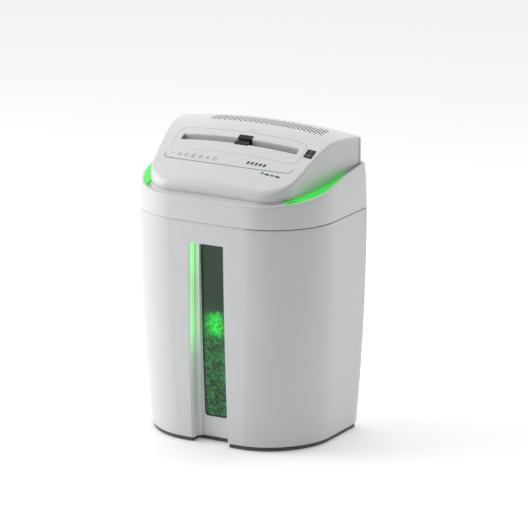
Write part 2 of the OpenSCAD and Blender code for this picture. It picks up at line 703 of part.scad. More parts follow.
module control_board() {
    color([0.1, 0.4, 0.22]) {
        box([-112, 48, 412], [-22, 104, 413.6]);
        for (x = [-100, -70, -40]) box([x, 60, 413.6], [x + 16, 80, 426]);
        for (x = [-106, -30]) translate([x, 54, deck_z]) cylinder(r = 3, h = 7.1);
    }
}
module motor_capacitor() {
    color([0.8, 0.8, 0.82]) translate([0, 92, deck_z + 20]) rod_x(-160, -118, 17);
    color([0.2, 0.2, 0.2]) box([-150, 84, deck_z], [-128, 100, deck_z + 5]);
}

// ---- bin ----
shell_levels = [shell_z, 50, 90, 135, 185, 240, 300, 350, bin_top];
side_start = 8;              // the straight side starts at this point of half_ring
function shell_path(z, d) = let (
    h = half_ring(z, d), y = bin_rear_y - clear,
    r = concat([for (v = [y, 105, 102, 99]) [corner_x(z, d, v), v]],
        [for (k = [side_start:1:len(h) - 1]) h[k]]),
    q = mirrored(r))
    concat(r, [for (k = [1:1:len(q) - 1]) q[k]]);
function channel_half(z) = (channel_w + channel_spread * (1 - z / channel_top)) / 2;
module channel_cut() {
    rotate([90, 0, 0]) translate([0, 0, 60]) linear_extrude(100)
        polygon([[-channel_half(0), 0], [channel_half(0), 0],
            [channel_half(channel_top), channel_top], [-channel_half(channel_top), channel_top]]);
}
module bin_shell() {
    color([0.84, 0.85, 0.85]) difference() {
        upright_wall([for (z = shell_levels) at_z(shell_path(z, 0), z)],
            [for (z = shell_levels) at_z(shell_path(z, wall), z)], closed = false);
        channel_cut();
    }
}
// recessed channel: two ribbed side walls and a back wall that holds the window
liner_levels = [shell_z, 60, 120, 180, 250, 310, channel_top - 0.5];
liner_t = 2.5;
function liner_path(z, d) = let (
    w = channel_half(z) - 0.2, y0 = front_at(w, z) + 0.6, yb = front_at(0, z) + channel_depth,
    half = [[w - d, y0 + d * 0.5], [w - 3 - d, y0 + 4], [w - 3 - d, y0 + 9], [w - 5 - d, y0 + 12],
        [w - 6 - d, y0 + 19], [w - 7 - d, yb - d]])
    concat([for (p = half) p], [for (k = [5:-1:0]) [-half[k][0], half[k][1]]]);
module channel_liner() {
    color([0.8, 0.82, 0.8]) difference() {
        upright_wall([for (z = liner_levels) at_z(liner_path(z, 0), z)],
            [for (z = liner_levels) at_z(liner_path(z, liner_t), z)], closed = false);
        window_block(0, 30);
    }
}
// prism of the window's outline, grown by d, from the channel's back wall inwards
module window_block(d, deep) {
    translate([0, front_y + channel_depth - 8, window_z + window_h / 2]) rotate([-90, 0, 0])
        linear_extrude(deep) rounded(window_w + 2 * d, window_h + 2 * d, window_round + d);
}
function pane_y(z) = front_y + front_in(z) + channel_depth;
module leaning_window(d_out, y_off, t) {
    intersection() {
        window_block(d_out, 60);
        band([for (z = [40, 90, 140, 190, 240, 300, 362]) let (y = pane_y(z) + y_off)
            [[-40, y, z], [-40, y + t, z], [40, y + t, z], [40, y, z]]], closed = false);
    }
}
module window_gasket() {
    color([0.2, 0.22, 0.21]) difference() {
        leaning_window(-0.2, -1, 4.5);
        window_block(-3, 60);
    }
}
module window_pane() {
    color([0.2, 0.5, 0.25, 0.5]) leaning_window(-3, 0.5, 2);
}
module bin_floor() {
    color([0.75, 0.76, 0.76]) translate([0, 0, floor_z]) linear_extrude(plate_t) difference() {
        intersection() {
            polygon(ring(floor_z, wall + clear));
            translate([-half_w, front_y]) square([body_w, bin_wall_y - front_y]);
        }
        channel_plan(channel_w + channel_spread + 1, channel_depth + 4, front_at(0, floor_z));
    }
}
function bin_wall_half(z) = corner_x(z, wall + 0.4, bin_wall_y + bin_wall_t);
module bin_back_wall() {
    color([0.78, 0.79, 0.79]) rotate([90, 0, 0]) translate([0, 0, -bin_wall_y - bin_wall_t])
        linear_extrude(bin_wall_t) polygon(concat(
            [for (z = [floor_z:14:bin_wall_top]) [bin_wall_half(z), z]],
            [for (z = [bin_wall_top:-14:floor_z]) [-bin_wall_half(z), z]]));
}
module bin_runners() {
    color([0.3, 0.3, 0.32]) for (s = [-1, 1]) translate([s * 128, 0, 0])
        box([-3, -60, plinth_h + 0.4], [3, 98, floor_z]);
}
module strike_plate() {
    color([0.6, 0.61, 0.63]) translate([magnet_x, 0, latch_z])
        box([-12, bin_wall_y + bin_wall_t, -9], [12, bin_wall_y + bin_wall_t + 0.9, 9]);
}

base_plinth();
rubber_feet();
frame_column();
rear_cover();
power_inlet();
inlet_pins();
bin_guides();
bin_magnet();
interlock_switch();
interlock_plunger();
chassis_plate();
skirt();
head_cover();
throat_bezel();
throat_guides();
sensor_cover();
sensor_receiver();
sensor_board();
switch_frame();
switch_rocker();
switch_pins();
light_strip_left();
light_strip_right();
led_boards();
bin_lamp();
side_plate_left();
side_plate_right();
tie_rods();
shaft_bushes();
cutter_shaft_front();
cutter_shaft_rear();
cutter_discs_front();
cutter_discs_rear();
comb_front();
comb_rear();
link_gear_front();
link_gear_rear();
drive_gear();
idler_gear();
idler_pin();
gear_plate();
motor_body();
motor_shaft();
motor_pinion();
motor_fan();
control_board();
motor_capacitor();
chassis_screws();
rear_screws();
bin_shell();
channel_liner();
window_gasket();
window_pane();
bin_floor();
bin_back_wall();
bin_runners();
strike_plate();
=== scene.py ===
import functools
import math
import random

import bmesh
import bpy
from mathutils import Matrix, Vector


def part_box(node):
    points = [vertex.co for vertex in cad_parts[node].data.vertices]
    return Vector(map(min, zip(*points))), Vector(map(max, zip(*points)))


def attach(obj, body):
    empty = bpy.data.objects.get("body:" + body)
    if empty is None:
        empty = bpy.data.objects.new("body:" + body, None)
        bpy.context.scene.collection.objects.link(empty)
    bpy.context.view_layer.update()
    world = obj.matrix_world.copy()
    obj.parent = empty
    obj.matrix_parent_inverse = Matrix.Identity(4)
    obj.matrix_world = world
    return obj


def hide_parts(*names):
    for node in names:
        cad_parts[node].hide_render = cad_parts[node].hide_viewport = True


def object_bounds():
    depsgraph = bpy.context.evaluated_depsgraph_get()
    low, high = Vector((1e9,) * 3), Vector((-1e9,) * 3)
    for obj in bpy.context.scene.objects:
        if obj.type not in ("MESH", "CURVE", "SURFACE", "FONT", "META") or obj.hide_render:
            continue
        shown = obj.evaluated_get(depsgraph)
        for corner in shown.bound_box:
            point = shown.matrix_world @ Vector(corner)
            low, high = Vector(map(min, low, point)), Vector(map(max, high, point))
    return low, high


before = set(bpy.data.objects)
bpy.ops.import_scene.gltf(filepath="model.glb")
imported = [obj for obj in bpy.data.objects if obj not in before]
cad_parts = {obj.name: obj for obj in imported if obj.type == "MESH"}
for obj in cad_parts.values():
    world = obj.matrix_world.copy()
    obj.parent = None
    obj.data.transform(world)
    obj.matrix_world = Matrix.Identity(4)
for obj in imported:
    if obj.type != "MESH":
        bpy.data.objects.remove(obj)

cad_lo, cad_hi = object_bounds()

MM = 0.001

# ---------------------------------------------------------------- driving sizes
shell_lo, shell_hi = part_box("bin_shell")
cover_lo, cover_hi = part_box("head_cover")
HALF_W = shell_hi.x
FRONT_Y = cad_lo.y
REAR_Y = cad_hi.y
TOP_Z = cad_hi.z
SHELL_Z = shell_lo.z
BIN_TOP = shell_hi.z
SEAM_Z = BIN_TOP + 0.5 * MM
BIN_END_Y = shell_hi.y
FRONT_BOW = 8 * MM
FRONT_R = 113 * MM
REAR_R = 15 * MM
SIDE_TAPER = 15 * MM
FRONT_TAPER = 11.5 * MM
REAR_TAPER = 8 * MM
HEAD_TAPER = 7.7 * MM
WALL = 3 * MM
SIDE_FRONT_Y = FRONT_Y + FRONT_BOW

RIM_FRONT_Z = 440.5 * MM
RIM_RISE = 38 * MM
RIM_T = 6 * MM
HEAD_HALF = 155 * MM
HEAD_FLARE = 0.19
HEAD_R = 60 * MM
HEAD_REAR_R = 12 * MM
HEAD_FRONT_Y = cover_lo.y
HEAD_REAR_Y = cover_hi.y
CROWN_R = 1200 * MM
CROWN_TOP_Y = 58 * MM
SLOPE_END = -5 * MM
FASCIA_SLOPE = 0.585
CROWN_BEND = FASCIA_SLOPE / (2 * (CROWN_TOP_Y - SLOPE_END))
REAR_BEND = 1.6

SLOT_W = 230 * MM
SLOT_GAP = 12 * MM
SLOT_Y = -7.5 * MM
BEZEL_Y = -11 * MM
PRINT_HALF = 114 * MM

CHANNEL_W = 67 * MM
CHANNEL_SPREAD = 5 * MM
CHANNEL_DEPTH = 25 * MM
CHANNEL_TOP = 363 * MM
WINDOW_W = 52 * MM
WINDOW_H = 312 * MM
WINDOW_Z = 45 * MM
WINDOW_R = 7 * MM


# ---------------------------------------------------------------- shape of the body
def drop(z):
    """Share of the full taper below the seam: 0 at the seam, 1 at the floor."""
    return max(0.0, (SEAM_Z - z) / SEAM_Z) ** 2


def rise(z):
    """Taper above the seam."""
    return HEAD_TAPER * max(0.0, (z - SEAM_Z) / (130 * MM)) ** 2


def half_at(z, d=0.0):
    return HALF_W - SIDE_TAPER * drop(z) - rise(z) - d


def front_in(z):
    return FRONT_TAPER * drop(z) + rise(z)


def rear_in(z):
    return REAR_TAPER * drop(z) + rise(z)


def front_at(x, z, d=0.0):
    """Depth of the bowed front at offset x and height z, moved in by d."""
    return FRONT_Y + front_in(z) + d + FRONT_BOW * (x / half_at(z)) ** 2


def corner_point(z, d, a):
    """Point on the large front corner; a runs from 0 at the side to 90 degrees at the front."""
    hw = half_at(z, d)
    r = FRONT_R - d
    x = hw - r + r * math.cos(a)
    y = SIDE_FRONT_Y + front_in(z) + d + r - r * math.sin(a)
    return x, y - FRONT_BOW * (1 - (x / hw) ** 2) * math.sin(a)


def rear_corner_point(z, d, a):
    """Point on the small rear corner; a runs from 0 at the rear to 90 degrees at the side."""
    r = max(REAR_R - d, 2 * MM)
    return (half_at(z, d) - r + r * math.sin(a),
            REAR_Y - rear_in(z) - d - r + r * math.cos(a))


def spread(a, b, n, ends=False):
    """n steps from a to b; the last point only when ends is true."""
    return [a + (b - a) * k / n for k in range(n + (1 if ends else 0))]


def half_outline(z, d=0.0, fine=1):
    """Right half of the body's outline, from the rear middle to the front middle."""
    pts = [((half_at(z, d) - REAR_R) * s, REAR_Y - rear_in(z) - d) for s in spread(0, 1, 8 * fine)]
    pts += [rear_corner_point(z, d, a) for a in spread(0, math.pi / 2, 6 * fine)]
    ax, ay = rear_corner_point(z, d, math.pi / 2)
    by = corner_point(z, d, 0)[1]
    pts += [(ax, ay + (by - ay) * s) for s in spread(0, 1, 12 * fine)]
    pts += [corner_point(z, d, a) for a in spread(0, math.pi / 2, 24 * fine)]
    cx, cy = corner_point(z, d, math.pi / 2)
    hw = half_at(z, d)
    for s in spread(1, 0, 8 * fine, ends=True):
        pts.append((cx * s, cy - FRONT_BOW * ((cx / hw) ** 2 - (cx * s / hw) ** 2)))
    return pts


def head_half(y):
    return HEAD_HALF + HEAD_FLARE * y


def head_half_outline(d=0.0, fine=1):
    """Right half of the head's outline, matched point for point with half_outline."""
    lean = math.atan(HEAD_FLARE)
    cy = HEAD_FRONT_Y + HEAD_R
    cx = head_half(cy) - HEAD_R / math.cos(lean)
    rx = head_half(HEAD_REAR_Y) - HEAD_REAR_R - d
    ry = HEAD_REAR_Y - d - HEAD_REAR_R
    pts = [(rx * s, HEAD_REAR_Y - d) for s in spread(0, 1, 8 * fine)]
    pts += [(rx + HEAD_REAR_R * math.sin(a), ry + HEAD_REAR_R * math.cos(a))
            for a in spread(0, math.pi / 2, 6 * fine)]
    y0, y1 = HEAD_REAR_Y - HEAD_REAR_R, cy - HEAD_R * math.sin(lean)
    pts += [(head_half(y) - d, y) for y in spread(y0, y1, 12 * fine)]
    pts += [(cx + (HEAD_R - d) * math.cos(a), cy - (HEAD_R - d) * math.sin(a))
            for a in spread(lean, math.pi / 2, 24 * fine)]
    pts += [(cx * s, HEAD_FRONT_Y + d) for s in spread(1, 0, 8 * fine, ends=True)]
    return pts


def circle(cx, cy, r, n=24, turn=0.0):
    return [(cx + r * math.cos(a + turn), cy + r * math.sin(a + turn)) for a in spread(0, math.tau, n)]


def closed(half):
    """Whole outline from its right half."""
    return half + [(-x, y) for x, y in half[-2:0:-1]]


def fascia_z(y):
    """Height of the cover along the middle: a straight front slope, then two parabolas."""
    if y < SLOPE_END:
        return fascia_z(SLOPE_END) + FASCIA_SLOPE * (y - SLOPE_END)
    return TOP_Z - (CROWN_BEND if y < CROWN_TOP_Y else REAR_BEND) * (y - CROWN_TOP_Y) ** 2


def crown_z(x, y):
    """Height of the domed cover."""
    return fascia_z(y) - x * x / (2 * CROWN_R)


def on_crown(points, lift=0.0):
    """Points in plan laid on the dome, raised by lift."""
    return [(x, y, crown_z(x, y) + lift) for x, y in points]


def crown_normal(x, y):
    h = 0.5 * MM
    return Vector((-(crown_z(x + h, y) - crown_z(x - h, y)) / (2 * h),
                   -(crown_z(x, y + h) - crown_z(x, y - h)) / (2 * h), 1)).normalized()


def rim_z(y):
    """Height of the skirt's rim, with a shallow wave along the side."""
    t = (y - FRONT_Y) / (222 * MM)
    return RIM_FRONT_Z + RIM_RISE * t - 2 * MM * math.sin(2 * math.pi * t)


def ledge_z(y):
    """Height of the ledge where it meets the head."""
    return 446 * MM + 22 * MM * max(0.0, (y + 104 * MM) / (204 * MM)) ** 1.6


def channel_half(z):
    return (CHANNEL_W + CHANNEL_SPREAD * (1 - z / CHANNEL_TOP)) / 2


def pane_y(z):
    return FRONT_Y + front_in(z) + CHANNEL_DEPTH


# ---------------------------------------------------------------- materials
def new_material(name):
    """Fresh material with its node tree and its main shader."""
    m = bpy.data.materials.new(name)
    m.use_nodes = True
    return m, m.node_tree, m.node_tree.nodes["Principled BSDF"]


def coordinates(nt):
    return nt.nodes.new("ShaderNodeTexCoord").outputs["Object"]


def noise(nt, vector, scale, detail=2.0):
    """Noise over a vector, or over the default coordinates when it is None."""
    node = nt.nodes.new("ShaderNodeTexNoise")
    node.inputs["Scale"].default_value = scale
    node.inputs["Detail"].default_value = detail
    if vector is not None:
        nt.links.new(vector, node.inputs["Vector"])
    return node.outputs["Fac"]


def ramp(nt, fac, *stops):
    """Colours along a factor; each stop is a position and a colour or a grey level."""
    node = nt.nodes.new("ShaderNodeValToRGB")
    elements = node.color_ramp.elements
    colors = [(at, (c, c, c, 1) if isinstance(c, float) else (*c, 1)) for at, c in stops]
    elements[0].position, elements[0].color = colors[0]
    elements[1].position, elements[1].color = colors[-1]
    for at, color in colors[1:-1]:
        elements.new(at).color = color
    nt.links.new(fac, node.inputs["Fac"])
    return node.outputs["Color"]


def remap(nt, value, source, target, smooth=False):
    """Value moved from one range to another."""
    node = nt.nodes.new("ShaderNodeMapRange")
    if smooth:
        node.interpolation_type = "SMOOTHSTEP"
    node.inputs["From Min"].default_value, node.inputs["From Max"].default_value = source
    node.inputs["To Min"].default_value, node.inputs["To Max"].default_value = target
    nt.links.new(value, node.inputs["Value"])
    return node.outputs["Result"]


def calculate(nt, operation, *values):
    """Math node; each value is an output or a number."""
    node = nt.nodes.new("ShaderNodeMath")
    node.operation = operation
    for socket, value in zip(node.inputs, values):
        if isinstance(value, float):
            socket.default_value = value
        else:
            nt.links.new(value, socket)
    return node.outputs["Value"]


def bump(nt, height, strength, distance):
    node = nt.nodes.new("ShaderNodeBump")
    node.inputs["Strength"].default_value = strength
    node.inputs["Distance"].default_value = distance
    nt.links.new(height, node.inputs["Height"])
    return node.outputs["Normal"]


def material(name, color, rough=0.5, metal=0.0, grain=0.0, grain_size=900.0, speck=0.04,
             coat=0.0, spec=0.5, rough_var=0.06):
    """Procedural moulded or metal surface: slight colour drift, fine grain in bump and gloss."""
    m, nt, bsdf = new_material(name)
    bsdf.inputs["Metallic"].default_value = metal
    bsdf.inputs["Specular IOR Level"].default_value = spec
    bsdf.inputs["Coat Weight"].default_value = coat
    bsdf.inputs["Coat Roughness"].default_value = 0.12
    place = coordinates(nt)
    low = [c * (1 - speck) for c in color]
    high = [min(1.0, c * (1 + speck)) for c in color]
    drift = noise(nt, place, 9.0, 3.0)
    nt.links.new(ramp(nt, drift, (0.3, low), (0.7, high)), bsdf.inputs["Base Color"])
    fine = noise(nt, place, grain_size)
    gloss = remap(nt, fine, (0.0, 1.0), (max(0.02, rough - rough_var), min(1.0, rough + rough_var)))
    nt.links.new(gloss, bsdf.inputs["Roughness"])
    if grain > 0:
        nt.links.new(bump(nt, fine, grain, 0.0002), bsdf.inputs["Normal"])
    return m


def brushed(name, color, rough=0.35, stretch=(2, 2, 60)):
    """Metal with fine parallel lines."""
    m = material(name, color, rough, metal=1.0, speck=0.08, rough_var=0.1)
    nt = m.node_tree
    mapping = nt.nodes.new("ShaderNodeMapping")
    mapping.inputs["Scale"].default_value = stretch
    nt.links.new(coordinates(nt), mapping.inputs["Vector"])
    lines = noise(nt, mapping.outputs["Vector"], 40.0)
    nt.links.new(bump(nt, lines, 0.15, 0.0003), nt.nodes["Principled BSDF"].inputs["Normal"])
    return m


def glowing(name, color, strength, rough=0.35):
    """Light guide: a bright core colour with a slow variation in its glow."""
    m = material(name, color, rough, speck=0.06)
    nt = m.node_tree
    bsdf = nt.nodes["Principled BSDF"]
    colors = next(n for n in nt.nodes if n.type == "VALTORGB")
    nt.links.new(colors.outputs["Color"], bsdf.inputs["Emission Color"])
    bsdf.inputs["Emission Strength"].default_value = strength
    return m


WHITE = material("body_satin_white", (0.64, 0.645, 0.65), 0.38, grain=0.25, speck=0.008, coat=0.05)
HEAD_WHITE = material("head_satin_white", (0.66, 0.665, 0.67), 0.36, grain=0.25, speck=0.008, coat=0.05)
INNER = material("bin_inner_grey", (0.30, 0.31, 0.31), 0.6, grain=0.3)
CHANNEL = material("channel_gloss", (0.72, 0.74, 0.73), 0.16, grain=0.05, speck=0.01, coat=0.4)
PLINTH = material("plinth_grey", (0.075, 0.076, 0.08), 0.55, grain=0.6, grain_size=600, speck=0.08)
RUBBER = material("rubber_black", (0.02, 0.02, 0.02), 0.8, grain=0.8, grain_size=500)
BLACK = material("moulded_black", (0.03, 0.03, 0.032), 0.5, grain=0.4)
GLOSS_BLACK = material("gloss_black", (0.010, 0.010, 0.012), 0.22, speck=0.1, spec=0.3)
GUIDE = material("guide_grey", (0.62, 0.625, 0.63), 0.45, grain=0.3)
BOARD = material("board_green", (0.02, 0.16, 0.07), 0.3, speck=0.15, grain=0.3, grain_size=300)
GASKET = material("gasket_grey", (0.035, 0.04, 0.038), 0.55, grain=0.4)
RED = material("moulded_red", (0.5, 0.03, 0.02), 0.3)
NYLON = material("nylon_cream", (0.75, 0.72, 0.62), 0.45, grain=0.3)
STEEL = brushed("zinc_sheet", (0.60, 0.61, 0.63), 0.38)
BRIGHT = brushed("ground_steel", (0.66, 0.67, 0.69), 0.25)
CUTTER = brushed("cutter_steel", (0.38, 0.39, 0.42), 0.3)
GEAR = brushed("gear_steel", (0.48, 0.49, 0.51), 0.35)
BRONZE = brushed("sintered_bronze", (0.55, 0.36, 0.15), 0.5)
BRASS = brushed("plated_brass", (0.75, 0.58, 0.25), 0.25)
DARK_STEEL = brushed("blackened_screws", (0.16, 0.16, 0.17), 0.4)
MOTOR = material("motor_paint", (0.10, 0.105, 0.115), 0.4, grain=0.4, coat=0.2)
CAN = brushed("drawn_aluminium", (0.7, 0.71, 0.73), 0.35, (2, 60, 60))
MAGNET = material("magnet_black", (0.05, 0.05, 0.055), 0.35)
PRINT_DARK = material("print_dark_grey", (0.035, 0.037, 0.04), 0.5, speck=0.05)
PRINT_GREY = material("print_mid_grey", (0.12, 0.125, 0.13), 0.5, speck=0.05)
PRINT_GREEN = material("print_green", (0.02, 0.42, 0.06), 0.5, speck=0.08)
SWITCH_MARK = material("switch_mark_grey", (0.35, 0.35, 0.36), 0.5)
LIGHT = glowing("light_guide_green", (0.015, 0.62, 0.035), 0.55)
LAMP = glowing("lamp_lens_green", (0.05, 0.8, 0.12), 1.5)


# ---------------------------------------------------------------- mesh helpers
def add_object(name, verts, faces, mat, smooth_angle=32.0):
    """Makes one object, merges doubles and marks edges sharper than smooth_angle."""
    mesh = bpy.data.meshes.new(name)
    mesh.from_pydata([tuple(v) for v in verts], [], faces)
    mesh.validate()
    mesh.update()
    obj = bpy.data.objects.new(name, mesh)
    bpy.context.scene.collection.objects.link(obj)
    mesh.materials.append(mat)
    mark_smooth(obj, smooth_angle)
    return obj


def mark_smooth(obj, smooth_angle=32.0):
    """Welds a mesh, turns its faces outward and marks sharp edges."""
    bm = bmesh.new()
    bm.from_mesh(obj.data)
    bmesh.ops.remove_doubles(bm, verts=bm.verts, dist=1e-6)
    bmesh.ops.recalc_face_normals(bm, faces=bm.faces)
    if all(len(e.link_faces) == 2 for e in bm.edges) and bm.calc_volume(signed=True) < 0:
        bmesh.ops.reverse_faces(bm, faces=bm.faces)
    limit = math.radians(smooth_angle)
    for f in bm.faces:
        f.smooth = True
    for e in bm.edges:
        e.smooth = len(e.link_faces) == 2 and e.calc_face_angle(0.0) < limit
    bm.to_mesh(obj.data)
    bm.free()


def grid(rows, wrap_rows=False, wrap_cols=False):
    """Vertices and quads of a grid of points."""
    n, m = len(rows), len(rows[0])
    verts = [p for row in rows for p in row]
    faces = []
    for i in range(n if wrap_rows else n - 1):
        for k in range(m if wrap_cols else m - 1):
            a, b = i * m + k, i * m + (k + 1) % m
            c, d = ((i + 1) % n) * m + (k + 1) % m, ((i + 1) % n) * m + k
            faces.append((a, b, c, d))
    return verts, faces


def close_ring(verts, faces, n, tip):
    """Closes the last ring of n vertices with a fan of triangles to tip."""
    last = len(verts) - n
    verts.append(tip)
    faces += [(last + i, last + (i + 1) % n, last + n) for i in range(n)]


def join_parts(parts):
    """Joins (verts, faces) lists into one."""
    verts, faces = [], []
    for v, f in parts:
        base = len(verts)
        verts += v
        faces += [tuple(i + base for i in face) for face in f]
    return verts, faces


def bevel(obj, width, segments=3, angle=35.0):
    mod = obj.modifiers.new("Bevel", "BEVEL")
    mod.width = width
    mod.segments = segments
    mod.limit_method = "ANGLE"
    mod.angle_limit = math.radians(angle)
    mod.harden_normals = False
    return mod


def thicken(obj, t, offset=-1.0):
    mod = obj.modifiers.new("Solidify", "SOLIDIFY")
    mod.thickness = t
    mod.offset = offset
    mod.use_even_offset = True
    mod.use_rim = True
    return mod


def apply_all(obj, smooth_angle=32.0):
    """Replaces the mesh by its evaluated form."""
    dg = bpy.context.evaluated_depsgraph_get()
    mesh = bpy.data.meshes.new_from_object(obj.evaluated_get(dg))
    obj.modifiers.clear()
    obj.data = mesh
    mark_smooth(obj, smooth_angle)


def cut(obj, cutter):
    """Cuts one closed object out of another and removes it."""
    mod = obj.modifiers.new("Cut", "BOOLEAN")
    mod.operation = "DIFFERENCE"
    mod.solver = "MANIFOLD"
    mod.object = cutter
    apply_all(obj)
    bpy.data.objects.remove(cutter)


def prism_mesh(outline, z0, z1):
    """Vertices and faces of a closed upright prism."""
    n = len(outline)
    verts = [(x, y, z0) for x, y in outline] + [(x, y, z1) for x, y in outline]
    faces = [tuple(range(n - 1, -1, -1)), tuple(range(n, 2 * n))]
    faces += [(i, (i + 1) % n, n + (i + 1) % n, n + i) for i in range(n)]
    return verts, faces


def prism(name, outline, z0, z1, mat=None):
    return add_object(name, *prism_mesh(outline, z0, z1), mat or BLACK)


def round_rect(w, h, r, n=6, cx=0.0, cy=0.0, per_side=1):
    """Rectangle with round corners, anticlockwise from the right; per_side steps along each side."""
    corners = ((1, 1), (-1, 1), (-1, -1), (1, -1))

    def on_corner(q, degrees):
        sx, sy = corners[q % 4]
        a = math.radians(degrees)
        return (cx + sx * (w / 2 - r) + r * math.cos(a), cy + sy * (h / 2 - r) + r * math.sin(a))

    pts = []
    for q in range(4):
        pts += [on_corner(q, 90 * q + 90 * k / n) for k in range(n + 1)]
        (ax, ay), (bx, by) = pts[-1], on_corner(q + 1, 90 * (q + 1))
        pts += [(ax + (bx - ax) * k / per_side, ay + (by - ay) * k / per_side)
                for k in range(1, per_side)]
    return pts


def finish_piece(obj, body, slot, *nodes):
    """Puts a piece on the body that carries it and hides the CAD nodes it stands for; the slot argument is
    not used.
    """
    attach(obj, body)
    if nodes:
        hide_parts(*nodes)
    return obj


# ---------------------------------------------------------------- bin
def make_bin_shell():
    """Front and sides in one shell, with the upright channel left open."""
    top_rows = spread(CHANNEL_TOP, BIN_TOP, 4, ends=True)
    low_rows = spread(SHELL_Z, CHANNEL_TOP, 30, ends=True)
    side_first = 2 * (8 + 6) + 2                    # past the rear and its corner in half_outline
    side_last = side_first + sum(1 for p in half_outline(CHANNEL_TOP, 0, 2)[side_first:] if p[0] > 80 * MM)
    parts = []
    for side in (1, -1):
        for rows, reach in ((low_rows, False), (top_rows, True)):
            lines = []
            for z in rows:
                edge = channel_half(min(z, CHANNEL_TOP))
                line = [(rear_edge_x(z, BIN_END_Y), BIN_END_Y)]
                line += half_outline(z, 0, 2)[side_first:side_last]
                line += [(x, front_at(x, z)) for x in spread(line[-1][0], edge, 12, ends=True)][1:]
                if reach:
                    line += [(x, front_at(x, z)) for x in spread(edge, 0, 8, ends=True)][1:]
                lines.append([(side * x, y, z) for x, y in line])
            parts.append(grid(lines))
    verts, faces = join_parts(parts)
    obj = add_object("bin_shell_skin", verts, faces, WHITE)
    thicken(obj, WALL)
    apply_all(obj)
    bevel(obj, 1.1 * MM, 3)
    apply_all(obj, 50)
    return finish_piece(obj, "bin", "body_white", "bin_shell")


def rear_edge_x(z, y):
    """Half width of the outline near the rear corner at depth y."""
    c = (y - REAR_Y + rear_in(z) + REAR_R) / REAR_R
    return half_at(z) - REAR_R + REAR_R * math.sin(math.acos(min(1.0, max(0.0, c))))


def liner_profile(z):
    """Half profile of the channel's side wall: lip, bead, cove and step down to the back wall."""
    w = channel_half(z) - 0.2 * MM
    y0 = front_at(w, z) + 0.6 * MM
    yb = pane_y(z)
    depth = yb - y0
    pts = [(w, y0)]
    for s in spread(0, 1, 8, ends=True):            # outer band: a shallow round bead
        pts.append((w - 0.6 * MM - 1.9 * MM * math.sin(math.pi * s), y0 + 0.02 * depth + 0.33 * depth * s))
    for s in spread(0, 1, 8, ends=True):            # second band: a wider cove
        pts.append((w - 2.2 * MM - 1.6 * MM * s + 1.2 * MM * math.sin(math.pi * s),
                    y0 + 0.38 * depth + 0.40 * depth * s))
    pts.append((w - 5.4 * MM, y0 + 0.84 * depth))
    pts.append((w - 7.0 * MM, y0 + 0.88 * depth))
    pts.append((w - 7.2 * MM, yb))
    return pts


def window_outline(d=0.0, per_side=40):
    """Outline of the window in X and Z, grown by d; the window narrows a little downwards."""
    cz = WINDOW_Z + WINDOW_H / 2
    pts = round_rect(WINDOW_W + 2 * d, WINDOW_H + 2 * d, WINDOW_R + d, 6, 0, cz, per_side)
    return [(x * window_narrow(z), z) for x, z in pts]


def window_narrow(z):
    return 0.88 + 0.12 * (z - WINDOW_Z) / WINDOW_H


def painted_wall_light(m):
    """Painted green light on the channel's left wall, as emission in its material: wide at the top, a thin
    line lower down.
    """
    nt = m.node_tree
    bsdf = nt.nodes["Principled BSDF"]
    axes = nt.nodes.new("ShaderNodeSeparateXYZ")
    nt.links.new(coordinates(nt), axes.inputs["Vector"])
    height = remap(nt, axes.outputs["Z"], (SHELL_Z, CHANNEL_TOP), (0.0, 1.0))
    painted_light_by_height = ramp(nt, height, (0.0, 0.0), (0.25, 0.02), (0.40, 0.14), (0.55, 0.7), (0.68, 0.6), (0.80, 0.6),
                (0.90, 1.0), (1.0, 1.0))
    inner_y = FRONT_Y + CHANNEL_DEPTH + FRONT_TAPER
    depth = remap(nt, axes.outputs["Y"], (FRONT_Y, inner_y), (0.0, 1.0))
    painted_light_bands = ramp(nt, depth, (0.0, 0.35), (0.12, 1.0), (0.30, 0.8), (0.42, 0.35), (0.60, 0.6), (0.78, 0.3),
                 (1.0, 0.0))
    left = calculate(nt, "LESS_THAN", axes.outputs["X"], -WINDOW_W / 2 - 1.5 * MM)
    level = calculate(nt, "MULTIPLY", calculate(nt, "MULTIPLY", painted_light_by_height, painted_light_bands), left)
    # painted light: green emission on the left wall only, set by height and in bands across its depth
    nt.links.new(level, bsdf.inputs["Emission Strength"])
    bsdf.inputs["Emission Color"].default_value = (0.10, 0.85, 0.10, 1)
    return m


def make_channel_liner():
    """Both side walls of the channel, and the back wall around the window."""
    rows = spread(SHELL_Z, CHANNEL_TOP - 0.5 * MM, 40, ends=True)
    parts = [grid([[(side * x, y, z) for x, y in liner_profile(z)] for z in rows]) for side in (1, -1)]
    inner = window_outline(-0.3 * MM)
    z0, z1 = rows[0], rows[-1]
    cz = WINDOW_Z + WINDOW_H / 2
    outer = []
    for x, z in inner:
        if abs(z - cz) < WINDOW_H / 2 - WINDOW_R:
            edge = liner_profile(z)[-1][0]
            outer.append((edge if x > 0 else -edge, z))
        else:
            end_z = z1 if z > cz else z0
            edge = liner_profile(end_z)[-1][0]
            half = WINDOW_W / 2 * window_narrow(z)
            outer.append((max(-edge, min(edge, x / half * edge)), end_z))
    loops = []
    for t in spread(0, 1, 3, ends=True):
        loop = []
        for (xa, za), (xb, zb) in zip(inner, outer):
            x, z = xa + (xb - xa) * t, za + (zb - za) * t
            loop.append((x, pane_y(z), z))
        loops.append(loop)
    loops.insert(0, [(x, pane_y(z) + 2 * MM, z) for x, z in inner])
    parts.append(grid(loops, wrap_cols=True))
    verts, faces = join_parts(parts)
    # the channel's gloss material carries the painted green light on its left wall
    obj = add_object("channel_liner_skin", verts, faces, painted_wall_light(CHANNEL), 40)
    return finish_piece(obj, "bin", "channel_gloss", "channel_liner")


